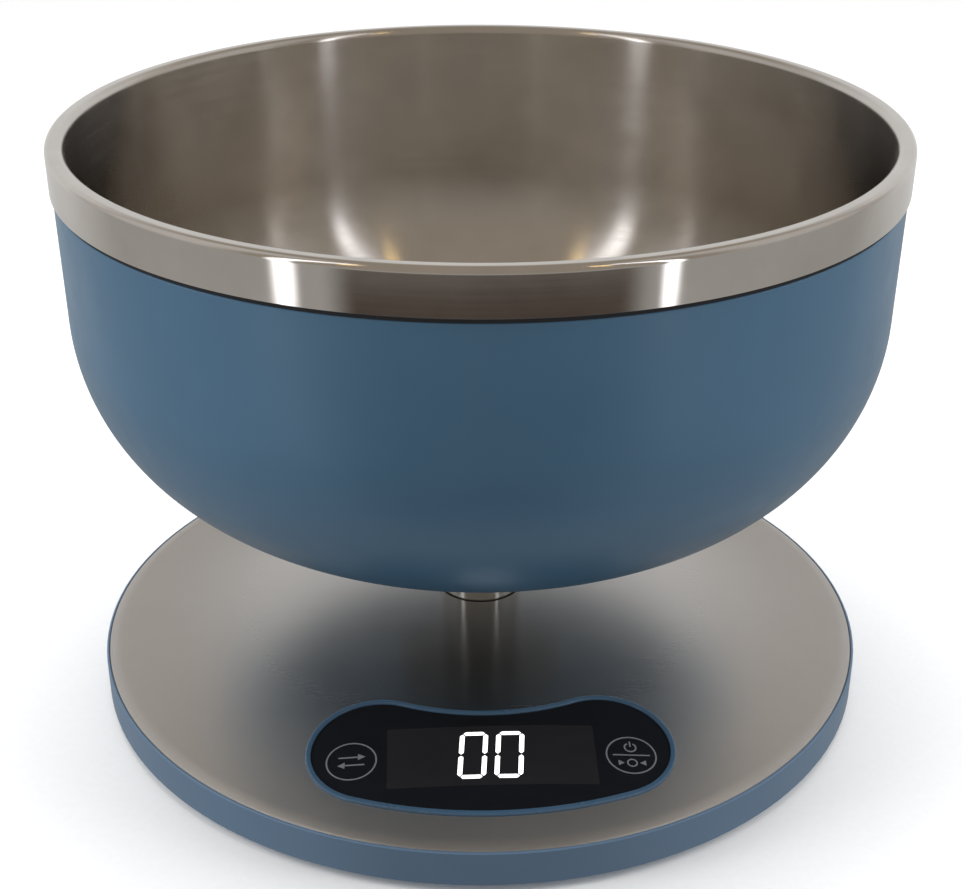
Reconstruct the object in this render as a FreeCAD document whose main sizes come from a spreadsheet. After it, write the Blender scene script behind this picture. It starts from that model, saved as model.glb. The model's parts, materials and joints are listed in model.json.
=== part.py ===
import FreeCAD, Part
import math
import os

import Sketcher

# Kitchen scale: a bowl that lifts off a slim pedestal, on a round weighing base.
# Millimetres, +Z up, -Y is the display side.  The origin is on the supporting
# surface, on the pedestal's axis.

DIMENSIONS = {
    # base housing
    "ground_gap": 2.0,
    "base_radius": 105.0,
    "ring_wall": 3.0,
    "ring_ledge": 10.2,
    "ring_lip_top": 11.9,
    "ring_lip_wall": 0.65,
    "ring_chamfer": 0.5,
    "ring_edge": 0.3,
    "floor_wall": 2.2,
    # domed steel plate
    "dome_radius": 567.0,
    "dome_apex": 22.0,
    "plate_wall": 0.8,
    "plate_border": 100.8,
    "border_radius": 14.0,
    "plate_shoulder": 104.0,
    "plate_radius": 104.25,
    "shoulder_drop": 0.35,
    "stem_hole": 11.65,
    # display pod, seen from above: two round lobes, a front arc and a hollow back
    "pod_front": 94.5,
    "pod_lobe": 17.7,
    "pod_lobe_offset": 28.2,
    "pod_back": 59.5,
    "trim_rise": 0.8,
    "trim_width": 1.4,
    "trim_flange": 0.6,
    "trim_depth": 3.2,
    "trim_ledge_width": 3.0,
    "lens_wall": 1.5,
    "lens_rise": 0.25,
    "print_wall": 0.2,
    "pod_low": 5.0,
    "pod_high": 30.0,
    "pod_reach": 100.0,
    "window_length": 51.4,
    "window_width": 20.0,
    "window_middle": 74.8,
    "digit_height": 15.7,
    "digit_width": 7.0,
    "digit_pitch": 9.0,
    "digit_shift": -0.1,
    "digit_slant": 0.08,
    "segment_wall": 1.2,
    "segment_gap": 0.12,
    "key_offset": 34.4,
    "key_middle": 74.9,
    "key_radius": 6.3,
    "key_line": 0.4,
    "arrow_spread": 1.3,
    "arrow_tail": 3.2,
    "arrow_neck": 1.6,
    "arrow_tip": 3.4,
    "arrow_head": 1.1,
    "arrow_shaft": 0.25,
    "divider_length": 9.2,
    "sign_offset": 2.6,
    "power_radius": 1.6,
    "power_gap": 1.4,
    "power_bar": 1.8,
    "zero_radius": 1.35,
    "pointer_tip": 1.9,
    "pointer_length": 1.5,
    "pointer_head": 0.9,
    # electronics
    "board_bottom": 7.0,
    "board_wall": 1.6,
    "board_length": 84.0,
    "board_width": 26.0,
    "board_middle": 73.5,
    "board_screw_offset": 38.5,
    "board_screw_spread": 8.0,
    "board_screw_hole": 1.3,
    "board_screw_head": 2.2,
    "board_screw_wall": 1.4,
    "board_screw_shank": 0.95,
    "board_screw_tip": 3.6,
    "trim_boss_depth": 4.0,
    "trim_boss_radius": 2.6,
    "trim_boss_bore": 1.0,
    "module_length": 50.0,
    "module_width": 19.0,
    "module_height": 4.2,
    "module_well": 1.5,
    "touch_radius": 4.2,
    "touch_offset": 30.96,
    # load cell
    "cell_length": 60.0,
    "cell_width": 12.7,
    "cell_height": 8.0,
    "cell_bottom": 6.2,
    "cell_pad_length": 16.0,
    "cell_screw_inner": 17.0,
    "cell_screw_outer": 25.0,
    "cell_bore": 2.0,
    "cell_eye": 2.6,
    "cell_eye_offset": 5.0,
    "cell_slot": 2.4,
    "top_pad_wall": 1.2,
    "gauge_wall": 0.35,
    "gauge_length": 6.0,
    "gauge_width": 8.0,
    "cell_screw_hole": 2.1,
    "cell_screw_head": 3.6,
    "cell_screw_recess": 3.8,
    "cell_screw_wall": 1.1,
    "cell_screw_shank": 1.95,
    "cell_screw_inset": 0.2,
    "cell_base_tip": 12.0,
    "cell_top_tip": 8.0,
    # pedestal
    "arm_wall": 2.6,
    "arm_width": 24.0,
    "arm_overhang": 1.0,
    "hub_thread_depth": 0.5,
    "hub_radius": 15.0,
    "hub_boss_top": 32.0,
    "stem_radius": 11.35,
    "stem_wall": 1.25,
    "stem_top": 53.8,
    "fit_gap": 0.05,
    "support_radius": 27.0,
    "support_wall": 3.0,
    "pad_wall": 1.0,
    "pad_inset": 0.6,
    "spigot_radius": 9.0,
    "spigot_flat": 7.6,
    "spigot_top": 64.3,
    "socket_gap": 0.25,
    "support_edge": 1.0,
    "support_depth": 9.5,
    "bolt_bore": 2.6,
    "bolt_thread": 2.5,
    "bolt_radius": 2.45,
    "bolt_hexagon": 2.3,
    "bolt_socket": 2.5,
    "bolt_inset": 0.2,
    "bolt_head_gap": 0.35,
    "bolt_head_radius": 4.25,
    "bolt_head_bottom": 59.8,
    # bowl
    "bowl_bottom": 57.8,
    "shell_corner": 54.5,
    "shell_corner_height": 112.3,
    "shell_radius": 104.3,
    "shell_wall": 2.4,
    "shell_top": 143.2,
    "tongue_wall": 2.0,
    "tongue_top": 151.3,
    "liner_wall": 0.8,
    "liner_gap": 0.4,
    "liner_bottom": 66.9,
    "liner_corner": 44.0,
    "band_radius": 105.05,
    "band_bottom": 144.2,
    "rim_top": 154.9,
    "rim_outer_round": 1.5,
    "rim_inner_round": 2.0,
    "socket_radius": 12.5,
    "socket_flange": 24.0,
    "socket_flange_wall": 2.5,
    "socket_top": 66.3,
    "socket_screw_circle": 18.0,
    "socket_boss_radius": 3.0,
    "socket_boss_height": 3.0,
    "socket_thread": 1.2,
    "socket_shank": 1.15,
    "socket_screw_length": 5.0,
    "side_draft": 0.3,
    "shell_edge": 0.4,
    "gasket_wall": 0.5,
    "gasket_overlap": 1.5,
    # battery bay and door
    "bay_length": 52.0,
    "bay_front": 20.2,
    "bay_back": 54.0,
    "bay_wall": 1.2,
    "bay_top": 16.2,
    "door_wall": 1.8,
    "door_gap": 0.25,
    "hinge_radius": 1.3,
    "hinge_pin": 0.6,
    "hinge_clearance": 0.1,
    "pin_overhang": 2.8,
    "scoop_radius": 9.0,
    "scoop_depth": 1.2,
    "groove_margin": 4.0,
    "groove_pitch": 1.6,
    "groove_width": 0.7,
    "groove_depth": 0.5,
    "groove_length": 16.0,
    "cell_aaa_radius": 5.25,
    "cell_aaa_length": 43.3,
    "cell_aaa_nub": 1.2,
    "cell_aaa_pitch": 10.9,
    "cell_aaa_height": 9.5,
    "cell_aaa_nub_radius": 1.9,
    "contact_wall": 0.4,
    "contact_side": 8.6,
    "contact_nub": 1.6,
    "contact_spring": 2.9,
    # feet and housing screws
    "foot_radius": 7.0,
    "foot_height": 3.0,
    "foot_circle": 84.0,
    "foot_bevel": 0.6,
    "boss_radius": 3.5,
    "boss_circle": 94.0,
    "boss_top": 8.4,
    "stud_radius": 2.75,
    "stud_bore": 1.5,
    "screw_hole": 1.7,
    "screw_head": 2.9,
    "screw_head_wall": 1.1,
    "screw_recess": 3.2,
    "screw_shank": 1.45,
    "screw_depth": 1.4,
    "screw_tip": 11.6,
    "screw_slot_length": 3.2,
    "screw_slot_width": 0.6,
    # solids that are joined sink this far into each other, and tools stand this far clear
    "sink": 1.0,
    "shank_sink": 0.2,
    "clear_top": 70.0,
    "clear_side": 20.0,
}

FOOT_ANGLES = (45.0, 135.0, 225.0, 315.0)
BOSS_ANGLES = (0.0, 60.0, 120.0, 180.0, 240.0, 300.0)
SOCKET_ANGLES = (90.0, 210.0, 330.0)

# centre, length, width and height of the controller, the converter and the connector
CHIPS = (
    (-14.0, -73.5, 10.0, 10.0, 1.6),
    (8.0, -73.5, 9.0, 6.0, 1.5),
    (26.0, -66.0, 8.0, 5.0, 2.4),
)
DOOR_GROOVES = 5


class Size:
    """A length that carries its value and the sheet expression it comes from."""

    def __init__(self, value, text):
        self.value = value
        self.text = text

    def __add__(self, other):
        other = size(other)
        return Size(self.value + other.value, f"({self.text} + {other.text})")

    def __sub__(self, other):
        other = size(other)
        return Size(self.value - other.value, f"({self.text} - {other.text})")

    def __mul__(self, other):
        other = size(other)
        return Size(self.value * other.value, f"({self.text} * {other.text})")

    def __truediv__(self, other):
        other = size(other)
        return Size(self.value / other.value, f"({self.text} / {other.text})")

    def __radd__(self, other):
        return size(other) + self

    def __rsub__(self, other):
        return size(other) - self

    def __rmul__(self, other):
        return size(other) * self

    def __neg__(self):
        return size(0) - self


def size(number):
    """Return number as a Size, whether or not it already is one."""
    if isinstance(number, Size):
        return number
    return Size(float(number), f"{float(number):.6f}")


def root(term):
    """Square root of a Size."""
    return Size(math.sqrt(term.value), f"sqrt({term.text})")


def make_sheet(document):
    """Fill the spreadsheet and return one Size for each alias."""
    sheet = document.addObject("Spreadsheet::Sheet", "Dimensions")
    sizes = {}
    for row, (alias, value) in enumerate(DIMENSIONS.items(), start=1):
        sheet.set(f"A{row}", alias)
        sheet.set(f"B{row}", str(value))
        sheet.setAlias(f"B{row}", alias)
        sizes[alias] = Size(value, f"Dimensions.{alias}")
    return sizes


doc = FreeCAD.newDocument("kitchen_scale")
D = make_sheet(doc)
doc.recompute()
nodes = []


# ---------------------------------------------------------------- building blocks


def bind(item, target, amount):
    """Tie a property to a sheet expression."""
    item.setExpression(target, size(amount).text)


def place(item, x, y, z):
    """Tie an object's position to the sheet."""
    bind(item, "Placement.Base.x", x)
    bind(item, "Placement.Base.y", y)
    bind(item, "Placement.Base.z", z)
    return item


def node(label, item):
    """Name a finished sub-part."""
    item.Label = label
    nodes.append(item)
    return item


def cylinder(name, radius, low, high, x=0.0, y=0.0):
    """Upright cylinder between two heights."""
    item = doc.addObject("Part::Cylinder", name)
    bind(item, "Radius", radius)
    bind(item, "Height", size(high) - low)
    return place(item, x, y, low)


def rod(name, radius, length, middle, direction):
    """Cylinder lying along X or Y, centred on a point."""
    item = doc.addObject("Part::Cylinder", name)
    bind(item, "Radius", radius)
    bind(item, "Height", length)
    x, y, z = middle
    half = size(length) / 2
    if direction == "X":
        item.Placement.Rotation = FreeCAD.Rotation(FreeCAD.Vector(0, 1, 0), 90)
        return place(item, x - half, y, z)
    item.Placement.Rotation = FreeCAD.Rotation(FreeCAD.Vector(1, 0, 0), -90)
    return place(item, x, y - half, z)


def frustum(name, low_radius, high_radius, low, high, x=0.0, y=0.0):
    """Upright cone frustum between two heights."""
    item = doc.addObject("Part::Cone", name)
    bind(item, "Radius1", low_radius)
    bind(item, "Radius2", high_radius)
    bind(item, "Height", size(high) - low)
    return place(item, x, y, low)


def box(name, x_span, y_span, z_span):
    """Box between two corners."""
    item = doc.addObject("Part::Box", name)
    for target, (low, high) in zip(("Length", "Width", "Height"), (x_span, y_span, z_span)):
        bind(item, target, size(high) - low)
    return place(item, x_span[0], y_span[0], z_span[0])


def centred(middle, extent):
    """Low and high ends of a span about its middle."""
    return size(middle) - size(extent) / 2, size(middle) + size(extent) / 2


def fuse(name, parts):
    """One solid from overlapping solids."""
    item = doc.addObject("Part::MultiFuse", name)
    item.Shapes = parts
    item.Refine = True
    return item


def group(name, parts):
    """Separate solids kept together in one sub-part."""
    item = doc.addObject("Part::Compound", name)
    item.Links = parts
    return item


def cut(name, base, tools):
    """Base less every tool."""
    item = doc.addObject("Part::Cut", name)
    item.Base = base
    item.Tool = tools[0] if len(tools) == 1 else group(name + "_tools", tools)
    return item


def common(name, base, tool):
    """What two solids share."""
    item = doc.addObject("Part::Common", name)
    item.Base = base
    item.Tool = tool
    return item


def arc_curve(start, end, radius, turn):
    """Arc under half a circle from start to end; turn is 1 anticlockwise, -1 clockwise."""
    chord = end - start
    half = chord.Length / 2
    side = FreeCAD.Vector(-chord.y, chord.x, 0) / chord.Length
    centre = start + chord / 2 + side * (turn * math.sqrt(radius * radius - half * half))
    first, last = (start, end) if turn > 0 else (end, start)
    angles = [math.atan2(p.y - centre.y, p.x - centre.x) for p in (first, last)]
    if angles[1] < angles[0]:
        angles[1] += 2 * math.pi
    circle = Part.Circle(centre, FreeCAD.Vector(0, 0, 1), radius)
    return Part.ArcOfCircle(circle, angles[0], angles[1])


def pin_point(sketch, index, end, x, y):
    """Hold one end of a sketch edge at a place given by the sheet."""
    for kind, axis, amount in (("DistanceX", -2, x), ("DistanceY", -1, y)):
        amount = size(amount)
        if amount.value == 0:
            sketch.addConstraint(Sketcher.Constraint("PointOnObject", index, end, axis))
            continue
        number = sketch.addConstraint(
            Sketcher.Constraint(kind, -1, 1, index, end, amount.value))
        sketch.setExpression(f"Constraints[{number}]", amount.text)


def draw(sketch, outline):
    """Draw a closed outline of corners (x, y) or, before an arc, (x, y, radius, turn)."""
    corners = [FreeCAD.Vector(size(c[0]).value, size(c[1]).value, 0) for c in outline]
    ends = []
    for index, corner in enumerate(outline):
        start, end = corners[index], corners[(index + 1) % len(corners)]
        if len(corner) == 4:
            radius = size(corner[2])
            edge = sketch.addGeometry(arc_curve(start, end, radius.value, corner[3]))
            ends.append((edge, 1, 2) if corner[3] > 0 else (edge, 2, 1))
        else:
            edge = sketch.addGeometry(Part.LineSegment(start, end))
            ends.append((edge, 1, 2))
    for index, (edge, first, last) in enumerate(ends):
        following, following_first, _ = ends[(index + 1) % len(ends)]
        sketch.addConstraint(
            Sketcher.Constraint("Coincident", edge, last, following, following_first))
    for corner, (edge, first, _) in zip(outline, ends):
        pin_point(sketch, edge, first, corner[0], corner[1])
        if len(corner) == 4:
            radius = size(corner[2])
            number = sketch.addConstraint(Sketcher.Constraint("Radius", edge, radius.value))
            sketch.setExpression(f"Constraints[{number}]", radius.text)


def new_sketch(body, name, plane):
    """Empty sketch on one of a body's own origin planes."""
    sketch = body.newObject("Sketcher::SketchObject", name)
    support = [f for f in body.Origin.OriginFeatures if f.Role == plane][0]
    sketch.AttachmentSupport = [(support, "")]
    sketch.MapMode = "FlatFace"
    return sketch


def revolved(name, outline):
    """Body turned about Z from an outline of (radius, height) corners."""
    body = doc.addObject("PartDesign::Body", name)
    sketch = new_sketch(body, name + "_profile", "XZ_Plane")
    draw(sketch, outline)
    turn = body.newObject("PartDesign::Revolution", name + "_revolution")
    turn.Profile = sketch
    turn.ReferenceAxis = (sketch, ["V_Axis"])
    turn.Angle = 360.0
    body.Tip = turn
    return body


def prism(name, outline, low, high):
    """Body extruded upright from an outline of (x, y) corners."""
    body = doc.addObject("PartDesign::Body", name)
    sketch = new_sketch(body, name + "_outline", "XY_Plane")
    bind(sketch, "AttachmentOffset.Base.z", low)
    draw(sketch, outline)
    pad = body.newObject("PartDesign::Pad", name + "_pad")
    pad.Profile = sketch
    bind(pad, "Length", size(high) - low)
    body.Tip = pad
    return body


def around(radius, angles):
    """Positions on a circle about the pedestal's axis."""
    places = []
    for angle in angles:
        turn = math.radians(angle)
        places.append((size(radius) * math.cos(turn), size(radius) * math.sin(turn)))
    return places


# ---------------------------------------------------------------- derived places

floor_top = D["ground_gap"] + D["floor_wall"]
cell_top = D["cell_bottom"] + D["cell_height"]
arm_bottom = cell_top + D["top_pad_wall"]
arm_top = arm_bottom + D["arm_wall"]
stem_bore = D["stem_radius"] - D["stem_wall"]
boss_fit = stem_bore - D["fit_gap"]
support_top = D["stem_top"] + D["support_wall"]
board_top = D["board_bottom"] + D["board_wall"]
below = D["ground_gap"] - D["sink"]
cell_head_low = D["ground_gap"] + D["cell_screw_inset"]
socket_seat = D["bowl_bottom"] + D["shell_wall"] / 2
hinge_line = (
    D["bay_front"] + D["hinge_clearance"] + D["hinge_radius"],
    D["ground_gap"] + D["hinge_radius"])
shell_side = D["shell_radius"] - D["side_draft"]
shell_inside = shell_side - D["shell_wall"]
shell_tongue = shell_inside + D["tongue_wall"]


def dome_height(radius, rise=0.0):
    """Height of the dome, or of a surface parallel to it, at a radius."""
    sphere = D["dome_radius"] + rise
    return D["dome_apex"] - D["dome_radius"] + root(sphere * sphere - size(radius) * radius)


def dome_layer(name, low_rise, high_rise):
    """Layer parallel to the dome, wide enough for the display pod."""
    reach = D["pod_reach"]
    return revolved(name, [
        (0.0, dome_height(0.0, low_rise), D["dome_radius"] + low_rise, -1),
        (reach, dome_height(reach, low_rise)),
        (reach, dome_height(reach, high_rise), D["dome_radius"] + high_rise, 1),
        (0.0, dome_height(0.0, high_rise)),
    ])


def pod_prism(name, inset):
    """Upright prism through the plate on the pod's outline."""
    return prism(name, pod_outline(inset), D["pod_low"], D["pod_high"])


def pod_outline(inset):
    """The pod's outline, moved inwards by inset: six tangent arcs."""
    lobe_x = D["pod_lobe_offset"]
    reach = D["pod_front"] - D["pod_lobe"]
    lobe_y = -root(reach * reach - lobe_x * lobe_x)
    hollow = -(lobe_y + D["pod_back"])
    back_radius = (lobe_x * lobe_x + hollow * hollow - D["pod_lobe"] * D["pod_lobe"]) \
        / ((D["pod_lobe"] - hollow) * 2)
    back_y = back_radius - D["pod_back"]
    lobe = D["pod_lobe"] - inset
    front = D["pod_front"] - inset
    back = back_radius + inset
    front_x = lobe_x * front / reach
    front_y = lobe_y * front / reach
    span = back_radius + D["pod_lobe"]
    rear_x = lobe_x * back / span
    rear_y = back_y + (lobe_y - back_y) * back / span
    return [
        (-front_x, front_y, front, 1),
        (front_x, front_y, lobe, 1),
        (lobe_x + lobe, lobe_y, lobe, 1),
        (rear_x, rear_y, back, -1),
        (-rear_x, rear_y, lobe, 1),
        (-(lobe_x + lobe), lobe_y, lobe, 1),
    ]


# ---------------------------------------------------------------- base


def make_base_housing():
    """Moulded tray: floor, outer ring, bosses and battery bay in one moulding."""
    outer = D["base_radius"]
    inner = outer - D["ring_wall"]
    lip = outer - D["ring_lip_wall"]
    bottom = D["ground_gap"]
    chamfer = D["ring_chamfer"]
    tray = revolved("housing_tray", [
        (0.0, bottom),
        (outer - chamfer, bottom),
        (outer, bottom + chamfer),
        (outer, D["ring_lip_top"] - D["ring_edge"]),
        (outer - D["ring_edge"], D["ring_lip_top"]),
        (lip, D["ring_lip_top"]),
        (lip, D["ring_ledge"]),
        (inner, D["ring_ledge"]),
        (inner, floor_top),
        (0.0, floor_top),
    ])
    solids = [tray]
    holes = []
    half_bay = D["bay_length"] / 2
    solids.append(box(
        "bay_block",
        centred(0.0, D["bay_length"] + D["bay_wall"] * 2),
        (D["bay_front"] - D["bay_wall"], D["bay_back"] + D["bay_wall"]),
        (bottom + D["sink"], D["bay_top"])))
    holes.append(box(
        "bay_hollow", (-half_bay, half_bay), (D["bay_front"], D["bay_back"]),
        (below, D["bay_top"] - D["bay_wall"])))
    holes.append(rod(
        "bay_pin_hole", D["hinge_pin"], D["bay_length"] + D["pin_overhang"] * 2 + D["fit_gap"] * 2,
        (0.0, *hinge_line), "X"))
    holes.append(cylinder(
        "bay_finger_scoop", D["scoop_radius"], below, bottom + D["scoop_depth"],
        0.0, D["bay_back"] + D["sink"]))
    for index, (x, y) in enumerate(around(D["boss_circle"], BOSS_ANGLES)):
        solids.append(cylinder(
            f"boss_{index}", D["boss_radius"], bottom + D["sink"], D["boss_top"], x, y))
        holes.append(cylinder(
            f"boss_hole_{index}", D["screw_hole"], below, D["boss_top"] + D["sink"], x, y))
        holes.append(cylinder(
            f"boss_recess_{index}", D["screw_recess"], below, bottom + D["screw_depth"], x, y))
    for index, (x, y) in enumerate(around(D["foot_circle"], FOOT_ANGLES)):
        holes.append(cylinder(
            f"foot_recess_{index}", D["foot_radius"] + D["fit_gap"],
            below, D["foot_height"], x, y))
    for index, x in enumerate(cell_screw_places(-1)):
        holes.append(cylinder(
            f"cell_hole_{index}", D["cell_screw_hole"], below, floor_top + D["sink"], x))
        holes.append(cylinder(
            f"cell_recess_{index}", D["cell_screw_recess"], below, cell_head_low + D["cell_screw_wall"],
            x))
    node("base_housing", cut("housing", fuse("housing_solid", solids), holes))


def make_top_plate():
    """Domed brushed plate with a rolled border, a stem hole and the pod's cut-out."""
    wall = D["plate_wall"]
    border = D["plate_border"]
    shoulder = D["plate_shoulder"]
    radius = D["plate_radius"]
    bend = D["border_radius"]
    # the border arc starts tangent to the dome and falls to the shoulder
    slope = border / D["dome_radius"]
    bend_x = border - bend * slope
    bend_z = dome_height(border) - bend * root(1.0 - slope * slope)
    shoulder_z = bend_z + root(bend * bend - (shoulder - bend_x) * (shoulder - bend_x))
    inner_bend = bend - wall
    inner_border = bend_x + inner_bend * slope
    inner_shoulder = radius - wall
    inner_shoulder_z = bend_z + root(
        inner_bend * inner_bend - (inner_shoulder - bend_x) * (inner_shoulder - bend_x))
    body = revolved("plate", [
        (D["stem_hole"], dome_height(D["stem_hole"], -wall), D["dome_radius"] - wall, -1),
        (inner_border, dome_height(inner_border, -wall), inner_bend, -1),
        (inner_shoulder, inner_shoulder_z),
        (inner_shoulder, D["ring_ledge"]),
        (radius, D["ring_ledge"]),
        (radius, shoulder_z - D["shoulder_drop"]),
        (shoulder, shoulder_z, bend, 1),
        (border, dome_height(border), D["dome_radius"], 1),
        (D["stem_hole"], dome_height(D["stem_hole"])),
    ])
    opening = pod_prism("pod_opening", D["trim_flange"])
    node("top_plate", cut("plate_cut", body, [opening]))


def make_plate_studs():
    """Threaded studs welded under the plate, one over each housing boss."""
    under = cylinder("stud_limit", D["plate_shoulder"], 0.0, D["pod_high"])
    ball = doc.addObject("Part::Sphere", "stud_dome")
    bind(ball, "Radius", D["dome_radius"] - D["plate_wall"])
    place(ball, 0.0, 0.0, D["dome_apex"] - D["dome_radius"])
    limit = common("stud_space", under, ball)
    stud_depth = D["screw_tip"] + D["fit_gap"] * 8
    studs = []
    for index, (x, y) in enumerate(around(D["boss_circle"], BOSS_ANGLES)):
        blank = cylinder(f"stud_{index}", D["stud_radius"], D["boss_top"], D["dome_apex"], x, y)
        hole = cylinder(f"stud_hole_{index}", D["stud_bore"], D["pod_low"], stud_depth, x, y)
        studs.append(cut(f"stud_bored_{index}", common(f"stud_cut_{index}", blank, limit), [hole]))
    node("plate_studs", group("studs", studs))


def make_housing_screws():
    """Screws up through the housing bosses into the plate's studs."""
    screws = []
    head = D["ground_gap"] + D["screw_depth"]
    face = head - D["screw_head_wall"]
    length, width = D["screw_slot_length"], D["screw_slot_width"]
    for index, (x, y) in enumerate(around(D["boss_circle"], BOSS_ANGLES)):
        blank = fuse(f"housing_screw_{index}", [
            cylinder(f"housing_head_{index}", D["screw_head"], face, head, x, y),
            cylinder(f"housing_shank_{index}", D["screw_shank"], head - D["shank_sink"],
                     D["screw_tip"], x, y),
        ])
        slots = []
        for name, x_extent, y_extent in (("x", length, width), ("y", width, length)):
            slots.append(box(
                f"housing_slot_{index}_{name}", centred(x, x_extent), centred(y, y_extent),
                (face - D["sink"], face + width)))
        screws.append(cut(f"housing_screw_cut_{index}", blank, slots))
    node("housing_screws", group("housing_screw_set", screws))


def make_rubber_feet():
    """Round feet in shallow recesses, with a small bevel at the ground."""
    feet = []
    for index, (x, y) in enumerate(around(D["foot_circle"], FOOT_ANGLES)):
        feet.append(fuse(f"foot_{index}", [
            frustum(f"foot_bevel_{index}", D["foot_radius"] - D["foot_bevel"], D["foot_radius"],
                    0.0, D["foot_bevel"], x, y),
            cylinder(f"foot_disc_{index}", D["foot_radius"], D["foot_bevel"], D["foot_height"],
                     x, y),
        ]))
    node("rubber_feet", group("feet", feet))


# ---------------------------------------------------------------- display pod


def make_display_trim():
    """Raised bead round the lens, with a neck through the plate and screw bosses."""
    rise = D["trim_rise"]
    neck_inset = D["trim_flange"] + D["fit_gap"] * 2
    bead = common(
        "trim_bead", pod_prism("bead_prism", 0.0), dome_layer("bead_layer", 0.0, rise))
    neck = common(
        "trim_neck", pod_prism("neck_prism", neck_inset),
        dome_layer("neck_layer", -D["trim_depth"], rise))
    pocket = common(
        "trim_pocket", pod_prism("pocket_prism", D["trim_width"]),
        dome_layer("pocket_layer", D["lens_rise"] - D["lens_wall"], rise + D["sink"]))
    window = pod_prism("trim_window", D["trim_ledge_width"] + D["trim_width"])
    solids = [cut("trim_frame", fuse("trim_solid", [bead, neck]), [pocket, window])]
    holes = []
    limit = under_lens("boss_layer")
    for index, (x, y) in enumerate(board_screw_places()):
        blank = cylinder(
            f"trim_boss_{index}", D["trim_boss_radius"], board_top, D["pod_high"], x, y)
        solids.append(common(f"trim_boss_cut_{index}", blank, limit))
        holes.append(cylinder(
            f"trim_boss_hole_{index}", D["trim_boss_bore"], D["pod_low"],
            board_top + D["trim_boss_depth"], x, y))
    node("display_trim", cut("trim", fuse("trim_bossed", solids), holes))


def under_lens(name):
    """Everything below the lens."""
    return dome_layer(name, -D["pod_high"], D["lens_rise"] - D["lens_wall"])


def board_screw_places():
    """Centres of the four screws that hold the board under the trim."""
    places = []
    for side in (-1, 1):
        for spread in (-1, 1):
            places.append((
                D["board_screw_offset"] * side,
                -D["board_middle"] + D["board_screw_spread"] * spread))
    return places


def make_display_lens():
    """Glossy dark lens that follows the dome."""
    node("display_lens", common(
        "lens", pod_prism("lens_prism", D["trim_width"] + D["fit_gap"] * 2),
        dome_layer("lens_layer", D["lens_rise"] - D["lens_wall"], D["lens_rise"])))


def make_display_window():
    """Smoked rectangle behind which the digits light."""
    block = box(
        "window_block", centred(0.0, D["window_length"]),
        centred(-D["window_middle"], D["window_width"]), (D["pod_low"], D["pod_high"]))
    node("display_window", common(
        "window", block,
        dome_layer("window_layer", D["lens_rise"], D["lens_rise"] + D["print_wall"])))


def segment_outline(ends, wall):
    """Six-cornered bar between two points, with pointed ends."""
    (x0, y0), (x1, y1) = ends
    length = math.hypot(x1 - x0, y1 - y0)
    along = ((x1 - x0) / length, (y1 - y0) / length)
    half = wall / 2
    corners = []
    for shift, side in ((0, 0), (half, -half), (length - half, -half),
                        (length, 0), (length - half, half), (half, half)):
        corners.append((
            x0 + along[0] * shift - along[1] * side,
            y0 + along[1] * shift + along[0] * side))
    return corners


def flat_prism(corners):
    """Upright polygon prism through the lens."""
    low = DIMENSIONS["pod_low"]
    points = [FreeCAD.Vector(x, y, low) for x, y in corners]
    face = Part.Face(Part.makePolygon(points + points[:1]))
    return face.extrude(FreeCAD.Vector(0, 0, DIMENSIONS["pod_high"] - low))


def make_display_digits():
    """The lit bars of two zeros, slightly slanted, one solid for each bar."""
    height = DIMENSIONS["digit_height"]
    wall = DIMENSIONS["segment_wall"]
    half_w = (DIMENSIONS["digit_width"] - wall) / 2
    half_h = (height - wall) / 2
    gap = DIMENSIONS["segment_gap"]
    bars = [
        ((-half_w + gap, half_h), (half_w - gap, half_h)),
        ((-half_w + gap, -half_h), (half_w - gap, -half_h)),
        ((-half_w, gap), (-half_w, half_h - gap)),
        ((half_w, gap), (half_w, half_h - gap)),
        ((-half_w, -half_h + gap), (-half_w, -gap)),
        ((half_w, -half_h + gap), (half_w, -gap)),
    ]
    solids = []
    for column in (-1.0, 0.0):
        middle = (column + 0.5) * DIMENSIONS["digit_pitch"] + DIMENSIONS["digit_shift"]
        for ends in bars:
            corners = []
            for x, y in segment_outline(ends, wall):
                corners.append((
                    middle + x + DIMENSIONS["digit_slant"] * y,
                    y - DIMENSIONS["window_middle"]))
            solids.append(flat_prism(corners))
    blanks = doc.addObject("Part::Feature", "digit_bars")
    blanks.Shape = Part.makeCompound(solids)
    low = D["lens_rise"] + D["print_wall"]
    node("display_digits", common(
        "digits", blanks, dome_layer("digit_layer", low, low + D["print_wall"] / 2)))


def ring_prism(x, y, radius):
    """Thin-walled upright tube through the lens, one printed line thick."""
    low = DIMENSIONS["pod_low"]
    height = DIMENSIONS["pod_high"] - low
    base = FreeCAD.Vector(x, y, low)
    outer = Part.makeCylinder(radius, height, base)
    return outer.cut(Part.makeCylinder(radius - DIMENSIONS["key_line"], height, base))


def bar_prism(x, y, length, width):
    """Upright bar through the lens, centred on a point."""
    half_l, half_w = length / 2, width / 2
    return flat_prism([
        (x - half_l, y - half_w), (x + half_l, y - half_w),
        (x + half_l, y + half_w), (x - half_l, y + half_w)])


def swap_arrows(x, y):
    """Two opposite arrows, one over the other."""
    tail, neck, tip = (DIMENSIONS["arrow_" + part] for part in ("tail", "neck", "tip"))
    head, shaft = DIMENSIONS["arrow_head"], DIMENSIONS["arrow_shaft"]
    arrows = []
    for side in (-1, 1):
        middle = y + DIMENSIONS["arrow_spread"] * side
        arrows.append(flat_prism([
            (x - tail * side, middle - shaft), (x + neck * side, middle - shaft),
            (x + neck * side, middle - head), (x + tip * side, middle),
            (x + neck * side, middle + head), (x + neck * side, middle + shaft),
            (x - tail * side, middle + shaft)]))
    return arrows


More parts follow.
